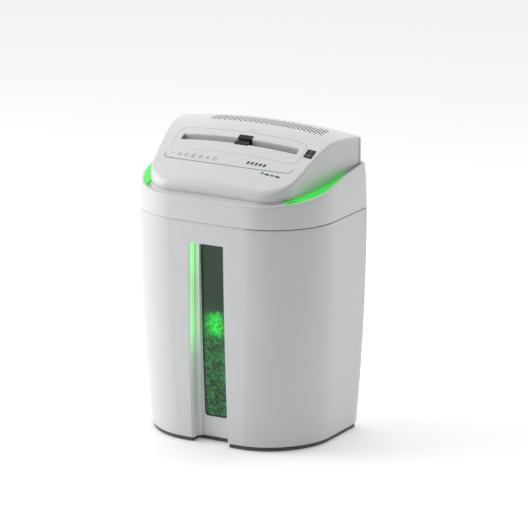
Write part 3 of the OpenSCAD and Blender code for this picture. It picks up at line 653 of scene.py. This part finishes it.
def make_gasket():
    """Rubber frame with a rounded section around the pane."""
    section = ((-3.2, 1.5), (-3.2, -0.4), (-2.6, -1.1), (-1.6, -1.4), (-0.7, -1.1), (-0.2, -0.4),
               (-0.2, 1.5))
    loops = [[(x, pane_y(z) + y * MM, z) for x, z in window_outline(d * MM)] for d, y in section]
    verts, faces = grid(loops, wrap_rows=True, wrap_cols=True)
    obj = add_object("window_gasket_skin", verts, faces, GASKET, 40)
    return finish_piece(obj, "bin", "gasket", "window_gasket")


# centre of the painted glow on the pane and the paper strips
PAINTED_GLOW_AT = Vector((1 * MM, -80 * MM, 212 * MM))


def painted_glow_level(nt, place, near, far, top):
    """Painted glow: smooth fall from top to nothing with the distance from the lamp's hot spot."""
    away = nt.nodes.new("ShaderNodeVectorMath")
    away.operation = "DISTANCE"
    away.inputs[1].default_value = PAINTED_GLOW_AT
    nt.links.new(place, away.inputs[0])
    return remap(nt, away.outputs["Value"], (near, far), (top, 0.0), smooth=True)


def glass_material():
    m, nt, bsdf = new_material("window_tint")
    bsdf.inputs["Transmission Weight"].default_value = 1.0
    bsdf.inputs["IOR"].default_value = 1.45
    place = coordinates(nt)
    haze = noise(nt, place, 14.0)
    tint = ramp(nt, haze, (0.0, (0.24, 0.62, 0.32)), (1.0, (0.28, 0.68, 0.36)))
    nt.links.new(tint, bsdf.inputs["Base Color"])
    nt.links.new(remap(nt, haze, (0.0, 1.0), (0.02, 0.05)), bsdf.inputs["Roughness"])
    # painted glow on the pane, strongest near the lamp's hot spot behind it
    nt.links.new(painted_glow_level(nt, place, 0.004, 0.042, 0.15), bsdf.inputs["Emission Strength"])
    bsdf.inputs["Emission Color"].default_value = (0.005, 1.0, 0.06, 1)
    return m


def make_pane():
    """Tinted pane, set just inside the rubber frame."""
    rows = []
    inset = 2.5 * MM
    for z in spread(WINDOW_Z + inset, WINDOW_Z + WINDOW_H - inset, 30, ends=True):
        near = min(z - WINDOW_Z, WINDOW_Z + WINDOW_H - z)
        corner = max(0.0, WINDOW_R - near)
        cut_in = WINDOW_R - math.sqrt(max(0.0, WINDOW_R ** 2 - corner ** 2))
        w = WINDOW_W / 2 * window_narrow(z) - inset - cut_in * 0.6
        rows.append([(x, pane_y(z) + 0.6 * MM, z) for x in spread(-w, w, 6, ends=True)])
    verts, faces = grid(rows)
    obj = add_object("window_pane_skin", verts, faces, glass_material(), 60)
    thicken(obj, 1.4 * MM, offset=1.0)
    apply_all(obj, 60)
    return finish_piece(obj, "bin", "window_tint", "window_pane")


def shred_material():
    """Paper strips with painted green lamp light: a green base colour, each strip its own tone, a painted
    glow bright near the lamp's hot spot and dark below, and a faint painted glow on every strip.
    """
    m, nt, bsdf = new_material("paper_strips_painted_glow")
    bsdf.inputs["Roughness"].default_value = 0.85
    bsdf.inputs["Specular IOR Level"].default_value = 0.1
    strip = nt.nodes.new("ShaderNodeNewGeometry").outputs["Random Per Island"]
    tone = ramp(nt, strip, (0.25, (0.012, 0.055, 0.022)), (0.9, (0.08, 0.60, 0.24)))
    nt.links.new(tone, bsdf.inputs["Base Color"])
    # painted light: the strips glow brightest at the lamp's hot spot, and each strip also has a faint
    # painted glow of its own
    glow = painted_glow_level(nt, coordinates(nt), 0.002, 0.030, 1.3)
    painted_faint_glow = remap(nt, strip, (0.2, 1.0), (0.0, 0.17))
    nt.links.new(calculate(nt, "MULTIPLY_ADD", strip, glow, painted_faint_glow), bsdf.inputs["Emission Strength"])
    painted_glow_hue = ramp(nt, glow, (0.0, (0.03, 1.0, 0.30)), (1.0, (0.01, 1.0, 0.05)))
    nt.links.new(painted_glow_hue, bsdf.inputs["Emission Color"])
    return m


def make_shreds():
    """Loose heap of short paper strips, densest behind the window."""
    rng = random.Random(7)
    verts, faces = [], []
    heap_top = 222 * MM
    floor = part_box("bin_floor")[1].z + 1 * MM
    for _ in range(2600):
        z = rng.uniform(floor + 6 * MM, heap_top)
        x = rng.gauss(0, 20 * MM)
        if abs(x) > 60 * MM:
            x *= 0.5
        near = pane_y(z) + 6 * MM
        y = near + abs(rng.gauss(0, 10 * MM))
        z -= 0.25 * abs(x) * (z / heap_top)
        length = rng.uniform(22, 42) * MM
        half = rng.uniform(1.6, 2.3) * MM
        yaw, pitch, roll = rng.uniform(0, math.tau), rng.gauss(0, 0.75), rng.uniform(-1.2, 1.2)
        along = Vector((math.cos(yaw) * math.cos(pitch), 0.35 * math.sin(yaw) * math.cos(pitch),
                        math.sin(pitch))).normalized()
        side = along.cross(Vector((math.sin(roll), math.cos(roll), 0.3))).normalized()
        bend = along.cross(side)
        curl = rng.uniform(-0.25, 0.25)
        steps = 4
        base = len(verts)
        for k in range(steps + 1):
            t = k / steps - 0.5
            p = Vector((x, y, z)) + along * (t * length) + bend * (curl * length * (4 * t * t - 1) * 0.5)
            p.z = min(max(p.z, floor), heap_top + 8 * MM)
            p.y = max(p.y, pane_y(p.z) + 3.2 * MM)
            verts += [p - side * half, p + side * half]
        for k in range(steps):
            a = base + 2 * k
            faces.append((a, a + 1, a + 3, a + 2))
    for v in verts:
        v.y = max(v.y, pane_y(v.z) + 3.2 * MM)
        v.z = max(v.z, floor)
    obj = add_object("paper_shreds", verts, faces, shred_material(), 80)
    return finish_piece(obj, "bin", "inner_grey")


# ---------------------------------------------------------------- head
@functools.cache
def ring_at(z, d):
    """Whole outline of the body at height z, moved in by d."""
    return closed(half_outline(z, d, 2))


def skirt_section(i, outer_point, head_point, low_z):
    """Section of the skirt at point i of the outline, from its outside up over the rim to the ledge."""
    top = rim_z(outer_point[1])
    column = []

    def at(z, d):
        column.append((*ring_at(z, d)[i], z))

    soft = (1.8 + 2.4 * smooth_ramp(-110 * MM, -40 * MM, outer_point[1])) * MM
    for s in (0, 0.25, 0.5, 0.75, 1):
        at(low_z + (top - soft - low_z) * s, 0)
    for a in (22, 45, 68, 90):
        turn = math.radians(a)
        at(top - soft + soft * math.sin(turn), soft - soft * math.cos(turn))
    r = 1.6 * MM
    for a in (60, 30, 0):
        turn = math.radians(a)
        at(top - r + r * math.sin(turn), RIM_T - r + r * math.cos(turn))
    start_z = top - 3 * MM
    at(start_z, RIM_T)
    x, y, _ = column[-1]
    hx, hy = head_point
    ledge = ledge_z(hy) - 0.5 * MM
    for s in (0.15, 0.35, 0.6, 0.8, 1.0):
        fall = s * s * (3 - 2 * s)
        column.append((x + (hx - x) * s, y + (hy - y) * s, start_z + (ledge - start_z) * fall))
    column.append((hx, hy, ledge - 3 * MM))
    column.append((x, y, top - 8 * MM))
    lip = min(0.7 * MM + 2.3 * MM * smooth_ramp(60 * MM, 100 * MM, outer_point[0]), WALL - 0.1 * MM)
    lip_z = BIN_TOP + 0.3 * MM
    at(low_z, WALL)
    at(lip_z, WALL)
    at(lip_z, lip)
    at(low_z, lip)
    return column


def make_skirt():
    """Ring with a rounded rim, a ledge that slopes in to the head, and a lip that closes the seam."""
    low_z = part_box("skirt")[0].z
    head = closed(head_half_outline(-0.4 * MM, 2))
    lines = []
    for i, point in enumerate(ring_at(SEAM_Z, 0)):
        tuck = 4 * MM * (1 - smooth_ramp(-100 * MM, -70 * MM, head[i][1]))
        head_point = Vector(head[i]) + inward(head, i) * tuck
        lines.append(skirt_section(i, point, head_point, low_z))
    verts, faces = grid(lines, wrap_rows=True, wrap_cols=True)
    obj = add_object("skirt_skin", verts, faces, HEAD_WHITE, 50)
    return finish_piece(obj, "root", "head_white", "skirt")


def inward(points, i):
    """Unit normal that points into a closed outline at point i."""
    a = Vector(points[i - 1])
    b = Vector(points[(i + 1) % len(points)])
    t = (b - a).normalized()
    return Vector((-t.y, t.x)) * (1 if area(points) > 0 else -1)


def area(points):
    return sum(a[0] * b[1] - a[1] * b[0] for a, b in zip(points, points[1:] + points[:1]))


def smooth_ramp(a, b, x):
    t = min(1.0, max(0.0, (x - a) / (b - a)))
    return t * t * (3 - 2 * t)


def head_shell(outline, wall_z, depth):
    """Wall, rounded edge and dome, moved in and down by depth."""
    n = len(outline)
    centre = Vector((0, 10 * MM))
    edge_rows, dome_rows = 9, 26
    rings = []
    for row in range(edge_rows):
        ring = []
        for i, point in enumerate(outline):
            normal = inward(outline, i)
            front = 1 - smooth_ramp(-100 * MM, -70 * MM, point[1])
            r = 3.4 * MM + 6.6 * MM * front
            if row < 4:
                s = row / 3
                q = Vector(point) + normal * depth
                p = Vector(point) + normal * (depth + 4.0 * MM * front * (1 - smooth_ramp(0.3, 1.0, s)))
                top = crown_z(q.x, q.y) - depth - r
                z = wall_z + (top - wall_z) * s
            else:
                a = math.radians(90 * (row - 3) / 5)
                p = Vector(point) + normal * (depth + r * (1 - math.cos(a)))
                z = crown_z(p.x, p.y) - depth - r * (1 - math.sin(a))
            ring.append((p.x, p.y, z))
        rings.append(ring)
    for k in range(dome_rows):
        s = 1 - (k + 1) / (dome_rows + 1)
        inner = [(centre.x + (x - centre.x) * s, centre.y + (y - centre.y) * s)
                 for x, y, _ in rings[edge_rows - 1]]
        rings.append(on_crown(inner, -depth))
    verts, faces = grid(rings, wrap_cols=True)
    close_ring(verts, faces, n, on_crown([centre], -depth)[0])
    return verts, faces


def head_skin():
    """Closed cover: an outer and an inner shell, joined along the lower edge."""
    outline = closed(head_half_outline(0, 2))
    n = len(outline)
    wall_z = cover_lo.z + 2 * MM
    outer_verts, outer_faces = head_shell(outline, wall_z, 0.0)
    inner_verts, inner_faces = head_shell(outline, wall_z, WALL)
    inner_faces = [tuple(reversed(f)) for f in inner_faces]
    verts, faces = join_parts([(outer_verts, outer_faces), (inner_verts, inner_faces)])
    off = len(outer_verts)
    faces += [((i + 1) % n, i, off + i, off + (i + 1) % n) for i in range(n)]
    return add_object("head_cover_skin", verts, faces, HEAD_WHITE, 40)


VENT_PITCH = 10.6 * MM
VENT_W = 2.4 * MM
VENT_TILT = math.radians(-39.5)
VENT_REACH = 29 * MM


def clip_line(x0, y0, dx, dy, poly):
    """Part of a line inside a convex polygon, as two parameters."""
    lo, hi = -VENT_REACH, VENT_REACH
    n = len(poly)
    for i in range(n):
        ax, ay = poly[i]
        bx, by = poly[(i + 1) % n]
        nx, ny = -(by - ay), bx - ax
        den = nx * dx + ny * dy
        num = nx * (ax - x0) + ny * (ay - y0)
        if abs(den) < 1e-12:
            if num > 0:
                return None
        elif den > 0:
            lo = max(lo, num / den)
        else:
            hi = min(hi, num / den)
    return (lo, hi) if hi > lo else None


def vent_cutter():
    """One closed mesh of round-ended slits across the top."""
    field = [(-98, 92), (-98, 50), (-60, 44), (60, 40), (128, 44), (128, 100), (-60, 100)]
    field = [(x * MM, y * MM) for x, y in field]
    dx, dy = math.cos(VENT_TILT), math.sin(VENT_TILT)
    parts = []
    for k in range(-13, 16):
        x0, y0 = k * VENT_PITCH, 70 * MM
        span = clip_line(x0, y0, dx, dy, field)
        if span is None or span[1] - span[0] < 6 * MM:
            continue
        a, b = span
        outline = []
        r = VENT_W / 2
        for end, turn in ((b, 0.0), (a, math.pi)):
            cx, cy = x0 + dx * end, y0 + dy * end
            for j in range(7):
                ang = VENT_TILT + turn - math.pi / 2 + math.pi * j / 6
                outline.append((cx + r * math.cos(ang), cy + r * math.sin(ang)))
        parts.append(prism_mesh(outline, 500 * MM, 560 * MM))
    return add_object("vent_cutter", *join_parts(parts), BLACK)


def fix_crown_normals(obj):
    """Gives the domed surface its exact normals, so the cuts leave no ripples in its shading."""
    mesh = obj.data
    normals = []
    for poly in mesh.polygons:
        for li in poly.loop_indices:
            v = mesh.vertices[mesh.loops[li].vertex_index].co
            exact = crown_normal(v.x, v.y)
            on_top = abs(v.z - crown_z(v.x, v.y)) < 0.15 * MM
            if on_top and poly.normal.dot(exact) > 0.94:
                normals.append(exact)
            else:
                normals.append(Vector((0, 0, 0)))
    mesh.normals_split_custom_set(normals)


def switch_frame_at():
    """Place and tilt of the rocker switch on the cover."""
    sx, sy = 138 * MM, -7 * MM
    slope = math.atan(FASCIA_SLOPE)
    tilt = math.asin(sx / CROWN_R)
    return (Matrix.Translation((sx, sy, crown_z(sx, sy)))
            @ Matrix.Rotation(tilt, 4, "Y") @ Matrix.Rotation(slope, 4, "X"))


def make_head_cover():
    """Domed cover with openings for the bezel, the switch and the vents."""
    obj = head_skin()
    opening = round_rect(254 * MM, 50 * MM, 15 * MM, 8, 0, BEZEL_Y)
    cut(obj, prism("bezel_cutter", opening, 400 * MM, 580 * MM))
    hole = prism("switch_cutter", round_rect(16 * MM, 20 * MM, 1 * MM, 3), -20 * MM, 20 * MM)
    hole.data.transform(switch_frame_at())
    cut(obj, hole)
    cut(obj, vent_cutter())
    fix_crown_normals(obj)
    return finish_piece(obj, "root", "head_white", "head_cover")


def make_bezel():
    """Panel around the slot, set in the cover with a hairline gap."""
    per_side = 24

    def panel(grow):
        return round_rect(253.2 * MM + 2 * grow, 49.2 * MM + 2 * grow, 14.6 * MM, 8, 0, BEZEL_Y, per_side)

    def slot(grow):
        return round_rect(SLOT_W + 2 * grow, SLOT_GAP + 2 * grow, 1.5 * MM + grow, 8, 0, SLOT_Y, per_side)

    loops = [on_crown(panel(grow * MM), dz * MM)
             for dz, grow in ((-3.0, 0.0), (-0.8, 0.0), (-0.25, -0.15), (0.0, -0.6))]
    r = 1.2 * MM
    rim, edge = panel(-0.6 * MM), slot(r)
    for s in (0.15, 0.3, 0.45, 0.6, 0.75, 0.9, 1.0):
        loops.append(on_crown([(xa + (xb - xa) * s, ya + (yb - ya) * s)
                               for (xa, ya), (xb, yb) in zip(rim, edge)]))
    for a in (30, 60, 90):
        turn = math.radians(a)
        loops.append(on_crown(slot(r * (1 - math.sin(turn))), -r * (1 - math.cos(turn))))
    loops.append(on_crown(slot(0), -2.8 * MM))
    verts, faces = grid(loops, wrap_cols=True)
    obj = add_object("throat_bezel_skin", verts, faces, HEAD_WHITE, 40)
    return finish_piece(obj, "root", "head_white", "throat_bezel")


def crown_block(name, outline, top, deep, mat, round_r):
    """Block with an upright wall whose rounded top follows the dome."""
    n = len(outline)
    rings = [on_crown(outline, -deep), on_crown(outline, top - round_r)]
    for a in (30, 60, 90):
        turn = math.radians(a)
        ring = [Vector(p) + inward(outline, i) * round_r * (1 - math.cos(turn))
                for i, p in enumerate(outline)]
        rings.append(on_crown(ring, top - round_r + round_r * math.sin(turn)))
    centre = sum((Vector(p) for p in outline), Vector((0, 0))) / n
    for s in (0.66, 0.33):
        rings.append(on_crown([centre + (Vector((x, y)) - centre) * s for x, y, _ in rings[4]], top))
    verts, faces = grid(rings, wrap_cols=True)
    close_ring(verts, faces, n, on_crown([centre], top)[0])
    faces.append(tuple(range(n - 1, -1, -1)))
    return add_object(name, verts, faces, mat, 40)


def make_sensor():
    """Black blocks on both sides of the slit in the slot."""
    for node in ("sensor_cover", "sensor_receiver"):
        lo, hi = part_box(node)
        w, h = hi.x - lo.x, hi.y - lo.y
        outline = round_rect(w, h, 1.2 * MM, 4, (lo.x + hi.x) / 2, (lo.y + hi.y) / 2, 4)
        obj = crown_block(f"{node}_skin", outline, 1.1 * MM, 14 * MM, GLOSS_BLACK, 0.9 * MM)
        finish_piece(obj, "root", "gloss_black", node)


def make_switch():
    """Black rocker in its frame, with two plain marks."""
    place = switch_frame_at()
    outer = round_rect(15.8 * MM, 19.8 * MM, 1.2 * MM, 4)
    inner = round_rect(12.8 * MM, 18.2 * MM, 0.8 * MM, 4)
    softened = [(x * 0.985, y * 0.985) for x, y in outer]
    levels = ((outer, -15.5), (outer, 0.5), (softened, 0.8), (inner, 0.8), (inner, 0.3), (inner, -9.5))
    verts, faces = grid([[(x, y, z * MM) for x, y in ring] for ring, z in levels], wrap_cols=True)
    n = len(outer)
    faces.append(tuple(range(n - 1, -1, -1)))
    faces.append(tuple(range(5 * n, 6 * n)))
    frame_obj = add_object("switch_frame_skin", verts, faces, GLOSS_BLACK, 35)
    frame_obj.data.transform(place)
    finish_piece(frame_obj, "root", "gloss_black", "switch_frame")
    half_l = 8.5 * MM

    def rocker_top(y):
        return (0.5 + 0.9 * (abs(y) / half_l) ** 1.4) * MM

    profile = [(-half_l, -1.5 * MM)]
    profile += [(y, rocker_top(y)) for y in spread(-half_l, half_l, 16, ends=True)]
    profile += [(half_l, -1.5 * MM), (2.5 * MM, -6 * MM), (-2.5 * MM, -6 * MM)]
    m = len(profile)
    rings = [[(x, y, z) for y, z in profile] for x in (-6 * MM, 6 * MM)]
    verts, faces = grid(rings, wrap_cols=True)
    faces += [tuple(range(m)), tuple(range(2 * m - 1, m - 1, -1))]
    rocker = add_object("switch_rocker_skin", verts, faces, GLOSS_BLACK, 30)
    bevel(rocker, 0.35 * MM, 2)
    apply_all(rocker, 30)
    rocker.data.transform(place)
    finish_piece(rocker, "rocker", "gloss_black", "switch_rocker")
    marks = []

    def on_rocker(pts):
        return [(x, y, rocker_top(y) + 0.06 * MM) for x, y in pts]

    bar = round_rect(0.7 * MM, 3.2 * MM, 0.3 * MM, 2, 0, 4.6 * MM)
    marks.append((on_rocker(bar), [tuple(range(len(bar)))]))
    ring_out, ring_in = circle(0, -4.6 * MM, 1.7 * MM), circle(0, -4.6 * MM, 1.1 * MM)
    marks.append(grid([on_rocker(ring_out), on_rocker(ring_in)], wrap_cols=True))
    verts, faces = join_parts(marks)
    obj = add_object("switch_marks", verts, faces, SWITCH_MARK)
    obj.data.transform(place)
    finish_piece(obj, "rocker", "gloss_black")


def rim_inner_x(y, z):
    """Half width of the rim's inner face at depth y."""
    straight = half_at(z, RIM_T)
    cy = SIDE_FRONT_Y + front_in(z) + FRONT_R
    if y >= cy:
        return straight
    r = FRONT_R - RIM_T
    return straight - r + math.sqrt(max(0.0, r * r - (y - cy) ** 2))


def make_light_strips():
    """Crescent light guides between the head's side wall and the rim."""
    for side, node in ((1, "light_strip_right"), (-1, "light_strip_left")):
        lines = []
        for y in spread(-90 * MM, 66 * MM, 60, ends=True):
            zr = rim_z(y)
            xi = head_half(y) + 0.3 * MM
            xo = max(rim_inner_x(y, zr) + 0.2 * MM, xi + 0.1 * MM)
            zi = ledge_z(y) + 1.4 * MM
            zo = zr - 1.5 * MM
            lines.append([(side * (xi + (xo - xi) * s), y,
                           zi + (zo - zi) * s + 2.0 * MM * math.sin(math.pi * s))
                          for s in spread(0, 1, 6, ends=True)])
        verts, faces = grid(lines)
        obj = add_object(f"{node}_skin", verts, faces, LIGHT, 60)
        thicken(obj, 1.6 * MM)
        apply_all(obj, 60)
        finish_piece(obj, "root", "light_green", node)


# ---------------------------------------------------------------- prints on the cover
def ribbon(points, width, lift=0.05 * MM):
    """Flat band along a line on the dome."""
    rows = []
    for i, (x, y) in enumerate(points):
        a = Vector(points[max(0, i - 1)])
        b = Vector(points[min(len(points) - 1, i + 1)])
        t = (b - a).normalized()
        nx, ny = -t.y * width / 2, t.x * width / 2
        rows.append(on_crown([(x + nx, y + ny), (x - nx, y - ny)], lift))
    return grid(rows)


def patch(outline, lift=0.05 * MM):
    """Flat filled shape on the dome; its points run anticlockwise."""
    n = len(outline)
    centre = (sum(p[0] for p in outline) / n, sum(p[1] for p in outline) / n)
    return on_crown([*outline, centre], lift), [(i, (i + 1) % n, n) for i in range(n)]


def box_patch(cx, cy, w, h, r, n=3):
    """Filled rectangle with round corners on the dome; measures in millimetres."""
    return patch(round_rect(w * MM, h * MM, r * MM, n, cx, cy))


def ring_patch(cx, cy, r, t, n=24, turn=0.0):
    """Thin closed ring on the dome."""
    loops = [on_crown(circle(cx, cy, radius, n, turn=turn), 0.05 * MM) for radius in (r, r - t)]
    return grid(loops, wrap_cols=True)


def line_y(x):
    """Depth of the printed line under the slot, bowed like the panel."""
    return (-61.5 + 6.5 * (abs(x) / PRINT_HALF) ** 2.2) * MM


def add_print(name, mesh, mat):
    """Places one printed mark, which rides on the root body."""
    finish_piece(add_object(name, *mesh, mat), "root", "black_plastic")


def make_prints():
    """The printed line with its turned-up ends, the row of icons, and the plain marks."""
    left = [(-127.5 * MM, -43.0 * MM), (-127.2 * MM, -46.5 * MM), (-125.5 * MM, -50.0 * MM),
            (-122.5 * MM, -52.8 * MM), (-118.5 * MM, -54.4 * MM)]
    middle = [(x, line_y(x)) for x in spread(-PRINT_HALF, PRINT_HALF, 60, ends=True)]
    right = [(-x, y) for x, y in reversed(left)]
    add_print("trim_line", ribbon(left + middle + right, 1.1 * MM), PRINT_DARK)

    icons = []
    for k in range(7):
        cx = (-112 + 14.6 * k) * MM
        cy = line_y(cx) + 10.5 * MM
        if k in (2, 3, 4, 6):
            icons.append(ring_patch(cx, cy, 4.1 * MM, 0.7 * MM))
        icons.append(box_patch(cx, cy, 1.3, 4.4, 0.5) if k % 2 else box_patch(cx, cy, 3.6, 1.3, 0.5))
        if k in (1, 5):
            icons.append(ring_patch(cx, cy, 4.6 * MM, 1.0 * MM, n=3, turn=math.pi / 2))
        if k in (3, 4):
            icons.append(box_patch(cx, cy - 0.3 * MM, 4.0, 1.1, 0.4))
    add_print("icon_row", join_parts(icons), PRINT_GREY)

    slanted = ((-3.0, -3.0), (1.8, -3.0), (3.2, 3.0), (-1.6, 3.0))
    marks = [patch([((41 + 8 * k + dx) * MM, (-49.5 + dy) * MM) for dx, dy in slanted]) for k in range(5)]
    add_print("plain_mark_dark", join_parts(marks), PRINT_DARK)
    add_print("plain_mark_green", box_patch(77.5 * MM, -64.5 * MM, 5.4, 5.0, 1.4, 4), PRINT_GREEN)
    small = [box_patch((87 + k * 10.2) * MM, -65.5 * MM, w, 3.6, 1.2, 4)
             for k, w in enumerate((9.0, 6.0, 9.5))]
    add_print("plain_mark_grey", join_parts(small), PRINT_DARK)
    arrow = [ring_patch(10 * MM, 19.5 * MM, 4.6 * MM, 1.0 * MM, n=3, turn=-math.pi / 2)]
    arrow += [box_patch(x * MM, 19.5 * MM, 1.0, 5.0, 0.4) for x in (3, 17)]
    add_print("arrow_mark", join_parts(arrow), PRINT_GREY)


# ---------------------------------------------------------------- base and rear
def make_plinth():
    """Dark base that follows the outline, notched under the channel."""
    z, d, notch = 6 * MM, 2.5 * MM, 37.2 * MM
    half = [p for p in half_outline(z, d, 2) if p[0] > notch or p[1] > 0]
    outline = half + [(notch, front_at(notch, z, d)), (notch, front_at(0, z) + CHANNEL_DEPTH + 1 * MM)]
    outline += [(-x, y) for x, y in reversed(outline[1:])]
    z0, z1 = (corner.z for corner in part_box("base_plinth"))
    obj = prism("base_plinth_skin", outline, z0, z1, PLINTH)
    bevel(obj, 0.8 * MM, 2)
    apply_all(obj)
    return finish_piece(obj, "root", "plinth_grey", "base_plinth")


def make_rear_cover():
    """Rear wall with both rounded corners, openings for the inlet and the screws."""
    lo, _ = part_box("rear_cover")
    lines = []
    for z in spread(lo.z, BIN_TOP, 24, ends=True):
        c = (lo.y - REAR_Y + rear_in(z) + REAR_R) / REAR_R
        a1 = math.acos(min(1.0, max(0.0, c)))
        half = [((half_at(z) - REAR_R) * s, REAR_Y - rear_in(z)) for s in spread(0, 1, 12)]
        half += [rear_corner_point(z, 0, a) for a in spread(0, a1, 10, ends=True)]
        line = [(-x, y) for x, y in reversed(half[1:])] + half
        lines.append([(x, y, z) for x, y in line])
    verts, faces = grid(lines)
    obj = add_object("rear_cover_skin", verts, faces, WHITE)
    thicken(obj, WALL)
    apply_all(obj)
    bevel(obj, 0.8 * MM, 2, 50)
    apply_all(obj)
    lo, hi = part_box("power_inlet")
    x0, x1 = lo.x - 0.3 * MM, hi.x + 0.3 * MM
    opening = [(x0, 90 * MM), (x1, 90 * MM), (x1, 130 * MM), (x0, 130 * MM)]
    cut(obj, prism("inlet_cutter", opening, lo.z - 0.3 * MM, hi.z + 0.3 * MM))
    lo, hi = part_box("rear_screws")
    for x in (lo.x + 4 * MM, hi.x - 4 * MM):
        for z in (lo.z + 4 * MM, hi.z - 4 * MM):
            ring = circle(x, z, 4.2 * MM)
            verts = [(px, y, pz) for y in (100 * MM, 130 * MM) for px, pz in ring]
            faces = [tuple(range(24)), tuple(range(47, 23, -1))]
            faces += [(i, 24 + i, 24 + (i + 1) % 24, (i + 1) % 24) for i in range(24)]
            cut(obj, add_object("screw_cutter", verts, faces, BLACK))
    return finish_piece(obj, "root", "body_white", "rear_cover")


# ---------------------------------------------------------------- carried-over CAD nodes
NODE_MATERIALS = (
    (RUBBER, "rubber_feet"), (BRASS, "inlet_pins"), (MAGNET, "bin_magnet"), (RED, "interlock_plunger"),
    (GUIDE, "throat_guides"), (LAMP, "bin_lamp"), (BRONZE, "shaft_bushes"), (NYLON, "idler_gear"),
    (MOTOR, "motor_body"), (CAN, "motor_capacitor"), (INNER, "bin_floor bin_back_wall"),
    (BLACK, "power_inlet bin_guides interlock_switch comb_front comb_rear motor_fan bin_runners"),
    (STEEL, "frame_column chassis_plate side_plate_left side_plate_right gear_plate strike_plate"),
    (BOARD, "sensor_board led_boards control_board"),
    (BRIGHT, "switch_pins tie_rods idler_pin motor_shaft"),
    (CUTTER, "cutter_shaft_front cutter_shaft_rear cutter_discs_front cutter_discs_rear"),
    (GEAR, "link_gear_front link_gear_rear drive_gear motor_pinion"),
    (DARK_STEEL, "chassis_screws rear_screws"),
)


def dress_nodes():
    """Gives each CAD node that stays visible its material."""
    for mat, names in NODE_MATERIALS:
        for name in names.split():
            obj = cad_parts[name]
            for s in obj.material_slots:
                s.material = mat
            if not obj.material_slots:
                obj.data.materials.append(mat)


# ---------------------------------------------------------------- stage
def make_stage():
    m, nt, bsdf = new_material("studio_floor")
    bsdf.inputs["Roughness"].default_value = 0.9
    bsdf.inputs["Specular IOR Level"].default_value = 0.1
    tone = ramp(nt, noise(nt, None, 3.0), (0.0, 0.93), (1.0, 0.96))
    nt.links.new(tone, bsdf.inputs["Base Color"])
    nt.links.new(tone, bsdf.inputs["Emission Color"])
    bsdf.inputs["Emission Strength"].default_value = 0.2
    size = 6.0
    floor = add_object("floor", [(-size, -size, 0), (size, -size, 0), (size, size, 0), (-size, size, 0)],
                       [(0, 1, 2, 3)], m)


def area_light(name, power, size, place, look_at, color=(1, 1, 1)):
    data = bpy.data.lights.new(name, "AREA")
    data.energy = power
    data.shape = "RECTANGLE"
    data.size, data.size_y = size
    data.color = color
    obj = bpy.data.objects.new(name, data)
    obj.location = place
    aim = Vector(look_at) - Vector(place)
    obj.rotation_euler = aim.to_track_quat("-Z", "Y").to_euler()
    bpy.context.scene.collection.objects.link(obj)


def make_lights():
    """Studio dimmer in front and to the right, soft key from the left, rear right rim light, top panel."""
    world = bpy.data.worlds.new("studio")
    bpy.context.scene.world = world
    world.use_nodes = True
    nt = world.node_tree
    back = nt.nodes["Background"]
    facing = nt.nodes.new("ShaderNodeVectorMath")
    facing.operation = "DOT_PRODUCT"
    facing.inputs[1].default_value = Vector((0.66, -0.75, 0.0)).normalized()
    nt.links.new(nt.nodes.new("ShaderNodeTexCoord").outputs["Generated"], facing.inputs[0])
    level = remap(nt, facing.outputs["Value"], (-0.15, 0.75), (0.96, 0.12), smooth=True)
    nt.links.new(level, back.inputs["Strength"])
    back.inputs["Color"].default_value = (1, 1, 1, 1)
    area_light("key_left", 38, (1.6, 1.8), (-2.4, -1.0, 1.3), (0, 0, 0.3))
    area_light("rim_right", 9, (1.0, 1.4), (1.9, 2.3, 1.2), (0, 0, 0.3))
    area_light("top_panel", 6, (1.2, 1.2), (0.0, 0.2, 1.9), (0, 0, 0.4))


def make_camera():
    """Camera matched to the photo."""
    azimuth, elevation = math.radians(29.857), math.radians(15.317)
    data = bpy.data.cameras.new("camera")
    data.lens = 273.26
    data.sensor_width = 36
    data.clip_end = 100
    obj = bpy.data.objects.new("camera", data)
    obj.location = (3.3836, -5.8180, 2.1429)
    obj.rotation_euler = (math.pi / 2 - elevation, 0, azimuth)
    bpy.context.scene.collection.objects.link(obj)
    bpy.context.scene.camera = obj


make_camera()
make_lights()
make_stage()
dress_nodes()
make_plinth()
make_rear_cover()
make_bin_shell()
make_channel_liner()
make_gasket()
make_pane()
make_shreds()
make_skirt()
make_head_cover()
make_bezel()
make_sensor()
make_switch()
make_light_strips()
make_prints()

bpy.context.scene.view_settings.view_transform = "Standard"
